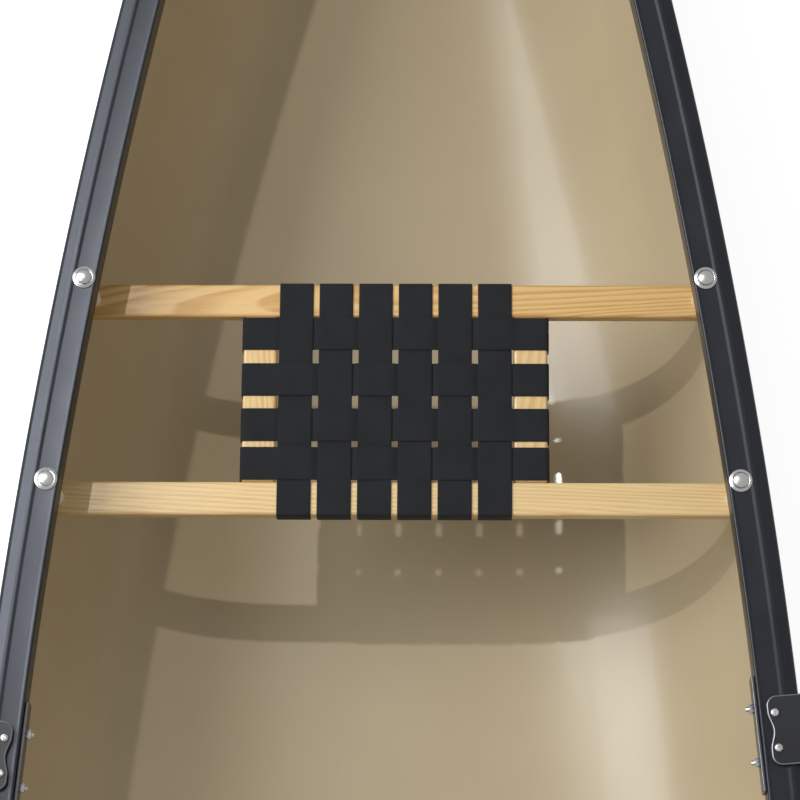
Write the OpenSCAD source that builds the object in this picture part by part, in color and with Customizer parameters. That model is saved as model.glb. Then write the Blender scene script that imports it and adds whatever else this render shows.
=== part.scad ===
// Tandem canoe with two webbed ash seats, a portage yoke and a pair of rowing brackets.
// +X points to the bow, +Y to port and +Z up. The origin is on the floor, amidships on the centreline.

/* [Hull] */
// Overall length of the hull, stem to stem
hull_length = 4880; // [4000:10:5900]
// Width of the hull at the sheer amidships, outside the shell
hull_beam = 912; // [770:2:1130]
// Depth of the hull amidships, floor to sheer
centre_depth = 345; // [320:5:420]
// Height of the stem heads above the floor
stem_height = 510; // [450:5:620]
// Thickness of the hull shell
shell_wall = 6.5; // [5:0.5:9]
// Rise of the bottom at the foot of each stem
rocker = 26; // [0:2:40]
// Width of the flat strip along the bottom amidships
floor_flat = 220; // [140:10:320]
// How far the foot of each stem stands back from the stem head
stem_foot = 240; // [180:10:320]
// Roundness of the bilge, where a larger value is squarer
bilge = 2.7; // [2.2:0.1:3.4]

/* [Gunwales] */
// Width of a gunwale across its top
gunwale_w = 45; // [42:1:56]
// How far a gunwale reaches below the sheer
gunwale_drop = 24; // [22:1:30]
// Height of a gunwale's crown above the sheer
gunwale_rise = 8; // [6:0.5:10]
// Thickness of the lip outside the hull
lip_t = 7; // [5:0.5:9]
// Wall of the inner channel
channel_wall = 3; // [2:0.5:4]
// Wall of the aluminium insert
insert_wall = 2; // [1.5:0.5:3]
// Width of the slot along the underside of the channel
channel_slot = 11; // [9:1:13]
// Gap between a gunwale and the hull edge that it grips
slot_gap = 0.5; // [0.3:0.1:0.8]

/* [Decks and handles] */
// Length of each deck cap, from its edge to the stem head
deck_length = 290; // [240:10:360]
// Height of a deck's crown above its edges
deck_crown = 12; // [6:1:18]
// Thickness of a deck plate
deck_t = 6; // [4:0.5:8]
// Radius of the painter hole in each deck
painter_r = 8; // [6:0.5:10]
// Distance of the painter hole from the stem head
painter_from_stem = 120; // [100:5:160]
// Distance of each carrying handle from the stem head
handle_from_stem = 372; // [340:5:460]
// Width of a carrying handle at its grip
grip_w = 30; // [24:1:36]

/* [Yoke] */
// Width of the yoke at its ends
yoke_end_w = 76; // [66:2:90]
// Width of the yoke over the shoulders
yoke_mid_w = 96; // [84:2:120]
// Radius of the neck hollow
neck_r = 92; // [80:2:110]
// Distance between the two bolts at each end of the yoke
yoke_bolt_pitch = 42; // [34:2:50]
// Thickness of the ash boards: yoke, handles and seat rails
board_t = 19; // [16:1:24]

/* [Seats] */
// Distance of the bow seat's centre from the bow stem head
bow_seat_from_stem = 1484; // [1340:1:1600]
// Distance of the stern seat's centre from the stern stem head
stern_seat_from_stem = 1030; // [960:10:1200]
// Drop from the top of the gunwales to the bow seat's rails
bow_seat_drop = 84; // [44:2:110]
// Drop from the top of the gunwales to the stern seat's rails
stern_seat_drop = 72; // [44:2:110]
// Distance between the two rows of seat bolts
seat_bolt_pitch = 231; // [210:1:280]
// Width of the two long rails of a seat
long_rail_w = 38; // [32:1:46]
// Width of the two short rails of a seat
side_rail_w = 38; // [32:1:40]
// Width of a seat over its two short rails
seat_web_w = 343; // [336:1:420]
// Width of the webbing
strap_w = 38.1; // [32:0.1:46]
// Thickness of the webbing
strap_t = 1.6; // [1.2:0.1:2]
// Gap between neighbouring lengthwise straps
strap_gap = 6.8; // [5:0.1:10]
// Gap between the first and second crosswise straps, counted from the bow
front_cross_gap = 15.8; // [4:0.2:18]
// Gap between the second and third crosswise straps
middle_cross_gap = 14.6; // [4:0.2:18]
// Gap between the third and fourth crosswise straps
rear_cross_gap = 6.8; // [4:0.2:18]
// Distance of the seat bolts from the inner edge of the gunwale
bolt_inset = 14; // [13:0.5:18]

/* [Fasteners] */
// Shank diameter of the seat, yoke and handle bolts
bolt_d = 6; // [5:0.5:8]
// Diameter of the dished washers under the bolt heads
dish_d = 25; // [22:1:28]
// Diameter of the domed bolt heads
head_d = 17; // [15:1:19]
// Outside diameter of the seat spacers
spacer_d = 20; // [17:1:22]
// Clearance on the radius of a bolt in its hole
bolt_clear = 0.3; // [0.2:0.1:0.5]

/* [Rowing brackets] */
// Distance of the port rowing bracket from the bow stem head
port_bracket_from_stem = 1903; // [1800:1:2000]
// Distance of the starboard rowing bracket from the bow stem head
starboard_bracket_from_stem = 1872; // [1800:1:2000]
// Length of a bracket along the gunwale
bracket_l = 75; // [70:1:90]
// Thickness of a bracket's plate and apron
bracket_t = 5; // [4:0.5:7]
// Distance between the two screws in a bracket's plate
screw_pitch = 38; // [34:1:44]
// Distance between the two bolts through the gunwale
through_pitch = 58; // [54:1:64]
// Length of the backing plate inside the gunwale
backing_l = 126; // [110:2:150]
// Thickness of the backing plate
backing_t = 3; // [2:0.5:5]
// Distance of the socket's centre outside the gunwale
socket_out = 17; // [15:0.5:22]
// Outside diameter of the socket barrel
barrel_d = 30; // [28:1:36]
// Height of the socket barrel
barrel_h = 46; // [40:1:60]
// Diameter of the oarlock shank
shank_d = 12.6; // [10.5:0.1:15.2]
// Running clearance on the radius of the shank
shank_clear = 0.06; // [0.02:0.01:0.09]
// Wall of the socket bush
bush_wall = 2.5; // [2:0.5:4]
// Diameter of the bush's flange
bush_flange_d = 34; // [30:1:38]
// Inside radius of the oarlock's horns
horn_r = 25; // [22:1:32]
// Thickness of the oarlock's horns
horn_t = 11; // [9:0.5:14]
// Opening between the tips of the horns, in degrees of arc
horn_gap = 95; // [80:5:120]

/* [Hidden] */

half_len = hull_length / 2;
half_beam = hull_beam / 2;
face_gap = 0.2;                    // between pieces that are bolted face to face
level_part = 0.5;                  // share of each half where the bottom is level
stations = 48;                     // strips along the hull
girths = 17;                       // points from the floor's edge to the sheer
round_fn = 48;
small_fn = 24;

// ---- Lines of the hull
// v runs from -1 at the stern to 1 at the bow, h from 0 at the floor to 1 at the sheer
function breadth(v) = half_beam * (1 - pow(abs(v), 2));
function sheer(v) = centre_depth + (stem_height - centre_depth) * pow(abs(v), 3.6);
function keel(v) = rocker * pow(max(0, abs(v) - level_part) / (1 - level_part), 2);
function flat_half(v) = floor_flat / 2 * (1 - pow(abs(v), 2));
function vee(v) = pow(abs(v), 6);
function round_side(h) = pow(max(0, 1 - pow(1 - h, bilge)), 1 / bilge);
function fullness(v, h) = (1 - vee(v)) * round_side(h) + vee(v) * sqrt(h);
function half_width(v, h) = flat_half(v) + (breadth(v) - flat_half(v)) * fullness(v, h);
function setback(v, h) = sign(v) * vee(v) * stem_foot * (1 - sqrt(max(0, 1 - pow(1 - h, 2))));
function girth_height(j) = j == 0 ? 0 : 1 - pow(cos(90 * j / (girths - 1)), 2 / bilge);
function station(i) = -1 + 2 * i / stations;
function along(x) = x / half_len;
function depth(v) = sheer(v) - keel(v);
// How far the side leans inboard at a drop below the sheer
function lean(v, drop) = breadth(v) - half_width(v, 1 - drop / depth(v));
// Half the clear width inside the hull at a height above the floor
function inside_half(x, z) =
  half_width(along(x), (z - keel(along(x))) / depth(along(x))) - shell_wall;
function sheer_slope(x) = atan((sheer(along(x + 1)) - sheer(along(x - 1))) / 2);
function side_angle(x) = atan((breadth(along(x + 1)) - breadth(along(x - 1))) / 2);

// ---- Places that other pieces share
inner_edge = gunwale_w - lip_t - slot_gap;      // from the hull's outside to the gunwale's inner edge
inner_face = shell_wall + slot_gap;             // from the hull's outside to the channel's outer face
bow_seat_x = half_len - bow_seat_from_stem;
stern_seat_x = stern_seat_from_stem - half_len;
function bracket_x(side) = half_len - (side > 0 ? port_bracket_from_stem : starboard_bracket_from_stem);
handle_x = half_len - handle_from_stem;
deck_start = half_len - deck_length;
function gunwale_top(x) = edge_sheer(along(x)) + gunwale_rise;
function gunwale_bottom(x) = edge_sheer(along(x)) - gunwale_drop;
function bolt_y(x) = edge_breadth(along(x)) - inner_edge + bolt_inset;
web_l = seat_bolt_pitch + long_rail_w;           // a seat's length over its long rails
web_gap = seat_bolt_pitch - long_rail_w;         // between a seat's long rails
thread_d = bolt_d - 0.2;
hole_d = bolt_d + 2 * bolt_clear;
nut_h = 5;
nut_af = 10;                                     // across the flats
washer_d = 14;
washer_t = 1.5;
head_h = 3.6;
dish_h = 2.2;
head_gap = 0.05;                                 // under a bolt's head
rail_end_gap = 2;                                // between a board's end and the hull

// ================= Hull =================
// One point of the shell, outside (skin 0) or inside (skin 1)
function shell_point(v, h, y_side, skin) =
  let (
    shrink = 1 - skin * shell_wall / (2 * half_beam),
    low = keel(v) + skin * shell_wall,
    top = sheer(v * shrink)
  )
  [
    (half_len * v - setback(v, h)) * shrink,
    y_side * half_width(v, h) * (1 - skin * shell_wall / half_beam),
    low + (top - low) * h
  ];

// A ring runs from the starboard sheer to the port sheer; the two end rings fold onto the stem line
ring = 2 * girths;
function level_of(k) = k < girths ? girths - 1 - k : k - girths;
function ring_side(k) = k < girths ? -1 : 1;
function ring_index(i, k) =
  i == 0 ? level_of(k)
  : i == stations ? girths + (stations - 1) * ring + level_of(k)
  : girths + (i - 1) * ring + k;
function skin_points(skin) = concat(
  [for (j = [0 : girths - 1]) shell_point(-1, girth_height(j), 0, skin)],
  [for (i = [1 : stations - 1], k = [0 : ring - 1])
    shell_point(station(i), girth_height(level_of(k)), ring_side(k), skin)],
  [for (j = [0 : girths - 1]) shell_point(1, girth_height(j), 0, skin)]
);
skin_count = 2 * girths + (stations - 1) * ring;
function proper(t) = t[0] != t[1] && t[1] != t[2] && t[2] != t[0];
function triangles(a, b, c, d) = [for (t = [[a, b, c], [a, c, d]]) if (proper(t)) t];
function skin_faces() = [
  for (i = [0 : stations - 1], k = [0 : ring - 2])
    each triangles(ring_index(i, k), ring_index(i + 1, k), ring_index(i + 1, k + 1), ring_index(i, k + 1))
];
function edge_faces(k) = [
  for (i = [0 : stations - 1])
    let (a = ring_index(i, k), b = ring_index(i + 1, k))
    each k > 0
      ? triangles(a, b, b + skin_count, a + skin_count)
      : triangles(a + skin_count, b + skin_count, b, a)
];

module hull() {
  color("#b8a580")
  difference() {
    polyhedron(
      points = concat(skin_points(0), skin_points(1)),
      faces = concat(
        skin_faces(),
        [for (f = skin_faces()) [f[0] + skin_count, f[2] + skin_count, f[1] + skin_count]],
        edge_faces(ring - 1),
        edge_faces(0)
      )
    );
    for (side = [-1, 1]) through_holes(side);
  }
}

// ================= Gunwales =================
ridge_in = 27;                                   // from the inner edge to the ridge along the top
edge_round = 1.5;                                // of the top's inner corner
// Outline across the port gunwale: [distance inboard of the hull's outside, height over the sheer]
gunwale_outline = [
  [-slot_gap - lip_t + 1, -gunwale_drop],
  [-slot_gap - lip_t, -gunwale_drop + 2],
  [-slot_gap - lip_t, -1],
  [-slot_gap - lip_t + 1.5, gunwale_rise - 5],
  [-slot_gap - lip_t + 5, gunwale_rise - 2.6],
  [inner_edge - ridge_in, gunwale_rise],
  [inner_edge - edge_round, gunwale_rise],
  [inner_edge, gunwale_rise - edge_round],
  [inner_edge, 1 - gunwale_drop],
  [inner_edge - 1, -gunwale_drop],
  [inner_edge - bolt_inset + channel_slot / 2, -gunwale_drop],
  [inner_edge - bolt_inset + channel_slot / 2, channel_wall - gunwale_drop],
  [inner_edge - channel_wall, channel_wall - gunwale_drop],
  [inner_edge - channel_wall, gunwale_rise - channel_wall - 1],
  [inner_face + channel_wall, gunwale_rise - channel_wall - 1],
  [inner_face + channel_wall, channel_wall - gunwale_drop],
  [inner_edge - bolt_inset - channel_slot / 2, channel_wall - gunwale_drop],
  [inner_edge - bolt_inset - channel_slot / 2, -gunwale_drop],
  [inner_face, -gunwale_drop],
  [inner_face, slot_gap],
  [-slot_gap, slot_gap],
  [-slot_gap, -gunwale_drop]
];

// The insert lines the channel with a small gap all round
insert_out = inner_face + channel_wall + slot_gap;
insert_in = inner_edge - channel_wall - slot_gap;
insert_top = gunwale_rise - channel_wall - 1 - slot_gap;
insert_foot = channel_wall - gunwale_drop + slot_gap;
insert_outline = [
  [insert_out, insert_foot],
  [insert_out, insert_top],
  [insert_in, insert_top],
  [insert_in, insert_foot],
  [insert_in - insert_wall, insert_foot],
  [insert_in - insert_wall, insert_top - insert_wall],
  [insert_out + insert_wall, insert_top - insert_wall],
  [insert_out + insert_wall, insert_foot]
];

// Stations between two distances along the hull: its own stations, with the two ends added
function run_stations(x0, x1) = concat(
  [along(x0)],
  [for (i = [1 : stations - 1]) if (abs(2 * half_len * i / stations - half_len) < x1 - 4) station(i)],
  [along(x1)]
);
// Height and breadth are taken straight from one hull station to the next, as the shell's own edge is
function mix(a, b, t) = a + (b - a) * t;
function cell(v) = min(stations - 1, floor((v + 1) * stations / 2));
function cell_part(v) = (v + 1) * stations / 2 - cell(v);
function edge_breadth(v) = mix(breadth(station(cell(v))), breadth(station(cell(v) + 1)), cell_part(v));
function edge_sheer(v) = mix(sheer(station(cell(v))), sheer(station(cell(v) + 1)), cell_part(v));
function rail_point(v, p, side) = [
  half_len * v,
  side * (edge_breadth(v) - p[0] - (p[1] < 0 ? lean(v, -p[1]) : 0)),
  edge_sheer(v) + p[1]
];

// Flat panels that fill each outline, as indices of its points
gunwale_panels = [
  [0, 1, 2, 20, 21], [2, 3, 4, 20], [4, 5, 19, 20], [5, 14, 19], [5, 6, 13, 14], [6, 7, 13],
  [7, 8, 12, 13], [8, 9, 12], [9, 10, 11, 12], [14, 15, 18, 19], [15, 16, 17, 18]
];
insert_panels = [[0, 1, 6, 7], [1, 2, 5, 6], [2, 3, 4, 5]];

function turned(list) = [for (k = [len(list) - 1 : -1 : 0]) list[k]];
function shifted(list, by) = [for (k = list) k + by];
// Skins a row of like rings and closes its ends with panels; flip turns every face over
module loft(rings, panels, flip) {
  n = len(rings[0]);
  last = (len(rings) - 1) * n;
  sides = [for (i = [0 : len(rings) - 2], k = [0 : n - 1])
    let (a = i * n + k, b = i * n + (k + 1) % n)
    each [[a, a + n, b + n], [a, b + n, b]]];
  faces = concat(panels, sides, [for (p = panels) turned(shifted(p, last))]);
  polyhedron(points = [for (r = rings) each r], faces = flip ? [for (f = faces) turned(f)] : faces);
}

module sheer_sweep(outline, panels, x0, x1, side) {
  rings = [for (v = run_stations(x0, x1)) [for (p = outline) rail_point(v, p, side)]];
  loft(rings, panels, side < 0);
}

module gunwale(side) {
  color("#26292d")
  difference() {
    sheer_sweep(gunwale_outline, gunwale_panels, -deck_start + 1, deck_start - 1, side);
    gunwale_holes(side);
  }
}

module gunwale_insert(side) {
  color("silver")
  difference() {
    sheer_sweep(insert_outline, insert_panels, -deck_start + 3, deck_start - 3, side);
    gunwale_holes(side);
  }
}

// Every hole that passes through one gunwale
module gunwale_holes(side) {
  for (xc = [bow_seat_x, stern_seat_x], end = [-1, 1])
    seat_frame(xc) at_seat_bolt(xc, end, side) bolt_hole();
  for (end = [-1, 1]) {
    yoke_bolt_at(end, side) bolt_hole();
    handle_bolt_at(end, side) bolt_hole();
    bracket_frame(side) screw_at(end) screw_hole();
  }
  through_holes(side);
}

// ================= Bolts, washers and nuts =================
// Each is drawn about z = 0 at the top of the gunwale
hole_reach = 60;
module bolt_hole() {
  translate([0, 0, -hole_reach]) cylinder(d = hole_d, h = hole_reach + 20, $fn = round_fn);
}
module yoke_bolt_at(end, side) {
  x = end * yoke_bolt_pitch / 2;
  translate([x, side * bolt_y(x), gunwale_top(x)]) children();
}
module handle_bolt_at(end, side) {
  translate([end * handle_x, side * bolt_y(handle_x), gunwale_top(handle_x)])
    rotate([0, -end * sheer_slope(handle_x), 0]) children();
}

// A low domed head, cut from a ball
module dome(d, h) {
  ball_r = (d * d / 4 + h * h) / (2 * h);
  rotate_extrude($fn = round_fn)
    intersection() {
      translate([0, h - ball_r]) circle(r = ball_r, $fn = 4 * round_fn);
      square([d / 2, h]);
    }
}

// Domed bolt whose shank runs down to length below the gunwale's top
module domed_bolt(length, seat) {
  translate([0, 0, seat]) dome(head_d, head_h);
  translate([0, 0, -length]) cylinder(d = bolt_d, h = length + seat + 0.5, $fn = round_fn);
}

// Dished washer: a flat rim with a raised ring inside it
module dished_washer() {
  rotate_extrude($fn = round_fn)
    polygon([
      [hole_d / 2, face_gap],
      [dish_d / 2, face_gap],
      [dish_d / 2, face_gap + 0.6],
      [dish_d / 2 - 1.4, face_gap + 1.1],
      [head_d / 2 + 0.6, dish_h],
      [hole_d / 2, dish_h]
    ]);
}

// Nut on a flat washer, with its top face at z = 0
module nut_and_washer() {
  difference() {
    union() {
      translate([0, 0, -washer_t]) cylinder(d = washer_d, h = washer_t, $fn = round_fn);
      translate([0, 0, -washer_t - nut_h]) cylinder(d = nut_af / cos(30), h = nut_h, $fn = 6);
    }
    translate([0, 0, -washer_t - nut_h - 1])
      cylinder(d = bolt_d + 0.1, h = washer_t + nut_h + 2, $fn = round_fn);
  }
}
nut_reach = washer_t + nut_h + 3;                // of a bolt below the wood

// ================= Decks =================
// Half of the section across a deck cap: [from the centre, height over the sheer]
function deck_section(v) =
  let (
    in = edge_breadth(v) + slot_gap,
    out = in + lip_t,
    shoulder = min(5, out * 0.35),
    crown = deck_crown * out / (out + 40)
  )
  [
    [out - 1, -gunwale_drop],
    [out, 2 - gunwale_drop],
    [out, -1],
    [out - 1.5, gunwale_rise - 5],
    [out - shoulder, gunwale_rise - 2.4],
    [out * 0.55, gunwale_rise + crown * 0.66],
    [out * 0.25, gunwale_rise + crown * 0.94],
    [0, gunwale_rise + crown],
    [0, gunwale_rise + crown - deck_t],
    [in * 0.5, gunwale_rise + crown * 0.7 - deck_t],
    [in, slot_gap],
    [in, -gunwale_drop]
  ];
function deck_lean(v, p) = p[1] < 0 && v < 1 ? lean(v, -p[1]) : 0;

// One side of a ring: k counts the points of the half section
function deck_point(v, end, half, k, side) =
  [end * half_len * v, side * (half[k][0] - deck_lean(v, half[k])), edge_sheer(v) + half[k][1]];
// A ring runs over the top from port to starboard and back underneath; both halves share points 7 and 8
function deck_ring(v, end) = let (half = deck_section(v)) concat(
  [for (k = [0 : 7]) deck_point(v, end, half, k, 1)],
  [for (k = [6 : -1 : 0]) deck_point(v, end, half, k, -1)],
  [for (k = [11 : -1 : 8]) deck_point(v, end, half, k, -1)],
  [for (k = [9 : 11]) deck_point(v, end, half, k, 1)]
);
function port_index(k) = k < 8 ? k : k + 10;
function starboard_index(k) = k < 8 ? 14 - k : 26 - k;
half_panels = [[0, 1, 2, 10, 11], [2, 3, 4, 10], [4, 5, 9, 10], [5, 6, 9], [6, 7, 8, 9]];
deck_panels = concat(
  [for (p = half_panels) [for (k = p) port_index(k)]],
  [for (p = half_panels) turned([for (k = p) starboard_index(k)])]
);

module deck(end) {
  runs = concat(
    [along(deck_start)],
    [for (i = [1 : stations - 1]) if (station(i) > along(deck_start + 4)) station(i)],
    [1]
  );
  color("#222428")
  difference() {
    loft([for (v = runs) deck_ring(v, end)], deck_panels, end < 0);
    translate([end * (half_len - painter_from_stem), 0, sheer(1) - 100])
      cylinder(r = painter_r, h = 200, $fn = round_fn);
  }
}

// Frame on the outside of a deck's lip, with z pointing outboard
lip_screw_drop = 12;
module lip_frame(x, side) {
  v = along(x);
  translate([
    x,
    side * (edge_breadth(v) + slot_gap + lip_t - lean(abs(v), lip_screw_drop)),
    edge_sheer(v) - lip_screw_drop
  ])
    rotate([0, 0, side * side_angle(x)]) rotate([-90 * side, 0, 0]) children();
}

deck_screw_places = [45, 150];                   // from the edge of the deck
deck_screw_head_d = 9;
deck_screw_d = 4;
module deck_screws() {
  color("#3a3c40")
  for (end = [-1, 1], side = [-1, 1], place = deck_screw_places)
    lip_frame(end * (deck_start + place), side) {
      translate([0, 0, face_gap]) dome(deck_screw_head_d, 2.2);
      translate([0, 0, -lip_t - shell_wall])
        cylinder(d = deck_screw_d, h = lip_t + shell_wall + 1, $fn = small_fn);
    }
}

// ================= Wooden boards =================
// Half width of a board whose ends are wide and whose middle is slim, t from 0 in the middle to 1 at an end
function slim_half(end_w, mid_w, t) = mid_w / 2 + (end_w - mid_w) / 2 * (1 - cos(180 * min(1, t * 1.15))) / 2;

board_steps = 24;
handle_end_w = 42;
handle_foot_x = handle_x + (gunwale_rise + gunwale_drop + board_t) * sin(sheer_slope(handle_x));
handle_half = inside_half(handle_foot_x, gunwale_bottom(handle_x) - board_t) - rail_end_gap;
// One point of the handle's edge, whose ends are cut along the hull's sides
function handle_edge(i, edge) =
  let (t = i / board_steps, x = edge * slim_half(handle_end_w, grip_w, abs(t)))
  [x, t * (handle_half + x * tan(side_angle(handle_x)))];
module handle_outline() {
  polygon(concat(
    [for (i = [-board_steps : board_steps]) handle_edge(i, 1)],
    [for (i = [board_steps : -1 : -board_steps]) handle_edge(i, -1)]
  ));
}

// The handle's frame lies on the gunwales' underside, tilted with the sheer
module handle_frame(end) {
  tilt = sheer_slope(handle_x);
  translate([end * handle_x, 0, gunwale_top(handle_x)])
    rotate([0, -end * tilt, 0])
      translate([0, 0, -(gunwale_rise + gunwale_drop) * cos(tilt) - face_gap]) children();
}

module carry_handle(end) {
  color("#dcb987")
  handle_frame(end)
    difference() {
      translate([0, 0, -board_t]) linear_extrude(board_t) scale([end, 1]) handle_outline();
      for (side = [-1, 1])
        translate([0, side * bolt_y(handle_x), -board_t - 1])
          cylinder(d = hole_d, h = board_t + 2, $fn = round_fn);
    }
}

handle_bolt_l = gunwale_rise + gunwale_drop + board_t + nut_reach;
module handle_bolts() {
  color("silver")
  for (end = [-1, 1], side = [-1, 1])
    handle_bolt_at(end, side) domed_bolt(handle_bolt_l, face_gap);
}

module handle_nuts() {
  color("silver")
  for (end = [-1, 1], side = [-1, 1])
    handle_frame(end)
      translate([0, side * bolt_y(handle_x), -board_t - face_gap]) nut_and_washer();
}

// The yoke is broad over the shoulders, with a round hollow for the neck on its after side
yoke_half = bolt_y(0) + 11;
shoulder_y = 150;                                // from the middle to the broadest place over a shoulder
yoke_waist_w = 58;
function yoke_fore(y) = yoke_end_w / 2 - 5 * (1 - cos(360 * min(1, y / yoke_half))) / 2;
function yoke_aft(y) =
  y < shoulder_y
    ? yoke_mid_w - yoke_end_w / 2
    : y < yoke_half * 0.66
      ? mix(yoke_mid_w - yoke_end_w / 2, yoke_waist_w / 2,
            (1 - cos(180 * (y - shoulder_y) / (yoke_half * 0.66 - shoulder_y))) / 2)
      : mix(yoke_waist_w / 2, yoke_end_w / 2, (1 - cos(180 * (y / yoke_half - 0.66) / 0.34)) / 2);
yoke_top = gunwale_bottom(0) - face_gap;
neck_depth = 40;
module center_yoke() {
  color("#dcb987")
  translate([0, 0, yoke_top - board_t])
    difference() {
      linear_extrude(board_t)
        difference() {
          polygon(concat(
            [for (i = [-board_steps : board_steps])
              [yoke_fore(abs(i) / board_steps * yoke_half), yoke_half * i / board_steps]],
            [for (i = [board_steps : -1 : -board_steps])
              [-yoke_aft(abs(i) / board_steps * yoke_half), yoke_half * i / board_steps]]
          ));
          translate([-(yoke_mid_w - yoke_end_w / 2) + neck_depth - neck_r, 0])
            circle(r = neck_r, $fn = 2 * round_fn);
        }
      for (end = [-1, 1], side = [-1, 1])
        translate([end * yoke_bolt_pitch / 2, side * bolt_y(yoke_bolt_pitch / 2), -1])
          cylinder(d = hole_d, h = board_t + 2, $fn = round_fn);
    }
}

yoke_bolt_l = gunwale_top(yoke_bolt_pitch / 2) - yoke_top + board_t + nut_reach;
module yoke_bolts() {
  color("silver")
  for (end = [-1, 1], side = [-1, 1]) yoke_bolt_at(end, side) domed_bolt(yoke_bolt_l, face_gap);
}

module yoke_nuts() {
  color("silver")
  for (end = [-1, 1], side = [-1, 1])
    translate([end * yoke_bolt_pitch / 2, side * bolt_y(yoke_bolt_pitch / 2), yoke_top - board_t - face_gap])
      nut_and_washer();
}

// ================= Seats =================
// xc is a seat's centre along the hull and drop the depth of its rails below the gunwales' top.
// A seat lies parallel to the sheer, so it is drawn in a frame whose origin is level with the gunwales' top.
module seat_frame(xc) {
  translate([xc, 0, gunwale_top(xc)]) rotate([0, -sheer_slope(xc), 0]) children();
}
function frame_x(xc, x) = xc + x * cos(sheer_slope(xc));
// Height of the gunwale's top over the frame's plane
function top_over(xc, x) =
  (gunwale_top(frame_x(xc, x)) - gunwale_top(xc) - x * sin(sheer_slope(xc))) / cos(sheer_slope(xc));
function seat_bolt_y(xc, end) = bolt_y(frame_x(xc, end * seat_bolt_pitch / 2));
module at_seat_bolt(xc, end, side) {
  x = end * seat_bolt_pitch / 2;
  translate([x, side * seat_bolt_y(xc, end), top_over(xc, x)]) children();
}
function floor_height(xc, x, drop) =
  gunwale_top(xc) + x * sin(sheer_slope(xc)) - drop * cos(sheer_slope(xc));
function clear_half(xc, x, drop) =
  inside_half(frame_x(xc, x) + drop * sin(sheer_slope(xc)), floor_height(xc, x, drop));
function rail_half(xc, end, drop) =
  let (x = end * seat_bolt_pitch / 2, foot = drop + board_t)
  min(clear_half(xc, x - long_rail_w / 2, foot), clear_half(xc, x + long_rail_w / 2, foot)) - rail_end_gap;
side_rail_y = (seat_web_w - side_rail_w) / 2;
dowel_d = 8;
dowel_l = 50;
dowel_pitch = 20;
dowel_gap = 0.1;

// The dowels that peg one short rail into one long rail, with clear added all round
module dowel_pair(drop, end, side, clear) {
  for (place = [-1, 1])
    translate([
      end * web_gap / 2 - dowel_l / 2 - clear,
      side * side_rail_y + place * dowel_pitch / 2,
      -drop - board_t / 2
    ])
      rotate([0, 90, 0]) cylinder(d = dowel_d + 2 * clear, h = dowel_l + 2 * clear, $fn = round_fn);
}

module long_rail(xc, drop, end) {
  x = end * seat_bolt_pitch / 2;
  half = rail_half(xc, end, drop);
  color("#dcb987")
  seat_frame(xc)
    difference() {
      translate([x - long_rail_w / 2, -half, -drop - board_t]) cube([long_rail_w, 2 * half, board_t]);
      for (side = [-1, 1]) {
        translate([x, side * seat_bolt_y(xc, end), -drop - board_t - 1])
          cylinder(d = hole_d, h = board_t + 2, $fn = round_fn);
        dowel_pair(drop, end, side, dowel_gap);
      }
    }
}

module side_rail(xc, drop, side) {
  rail_l = web_gap - 2 * face_gap;
  color("#dcb987")
  seat_frame(xc)
    difference() {
      translate([-rail_l / 2, side * side_rail_y - side_rail_w / 2, -drop - board_t])
        cube([rail_l, side_rail_w, board_t]);
      for (end = [-1, 1]) dowel_pair(drop, end, side, dowel_gap);
    }
}

module dowels(xc, drop) {
  color("#c9a070")
  seat_frame(xc)
    for (end = [-1, 1], side = [-1, 1]) dowel_pair(drop, end, side, 0);
}

// ---- Webbing
lengthwise_count = 6;
crosswise_count = 4;
cross_gaps = [front_cross_gap, middle_cross_gap, rear_cross_gap];
strap_pitch = strap_w + strap_gap;
function lengthwise_y(k) = (k - (lengthwise_count - 1) / 2) * strap_pitch;
function gaps_before(k) = k == 0 ? 0 : cross_gaps[k - 1] + gaps_before(k - 1);
cross_room = web_gap - crosswise_count * strap_w - gaps_before(crosswise_count - 1);
function crosswise_x(k) = web_gap / 2 - cross_room / 2 - strap_w * (k + 0.5) - gaps_before(k);
strap_mid = strap_t / 2 + face_gap;              // middle of a strap above the face it lies on
weave_rise = strap_t / 2 + 0.15;
weave_lead = 0.6;                                // a strap is level this far beyond each crossing
step_gap = 0.4;                                  // a strap steps down this far clear of a rail
tail_l = 30;

// Unit normal to the left of a step from a to b
function left_of(a, b) = [a[1] - b[1], b[0] - a[0]] / norm(b - a);
function corner_normal(a, b, c) =
  let (n = left_of(a, b) + left_of(b, c))
  n * 2 / (n * n);
// A strap's edge outline: its path with half the thickness laid off on both sides
function ribbon(path) =
  let (
    last = len(path) - 1,
    off = [for (i = [0 : last])
      i == 0 ? left_of(path[0], path[1])
      : i == last ? left_of(path[last - 1], path[last])
      : corner_normal(path[i - 1], path[i], path[i + 1])]
  )
  concat(
    [for (i = [0 : last]) path[i] + off[i] * strap_t / 2],
    [for (i = [last : -1 : 0]) path[i] - off[i] * strap_t / 2]
  );

// Path of a strap that wraps two rails: half runs to the rails' outer faces, and rail_w is their width.
// places are the middles of the straps that it crosses, high says for each whether it goes over.
function wrap_path(half, rail_w, places, high) = concat(
  [
    [-half + min(tail_l, rail_w - 4), -board_t - strap_mid],
    [-half - strap_mid, -board_t - strap_mid],
    [-half - strap_mid, strap_mid],
    [-half + rail_w + step_gap, strap_mid]
  ],
  [for (k = [0 : len(places) - 1], e = [-1, 1])
    [places[k] + e * (strap_w / 2 + weave_lead), strap_mid + (high[k] ? weave_rise : -weave_rise)]],
  [
    [half - rail_w - step_gap, strap_mid],
    [half + strap_mid, strap_mid],
    [half + strap_mid, -board_t - strap_mid],
    [half - min(tail_l, rail_w - 4), -board_t - strap_mid]
  ]
);

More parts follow.
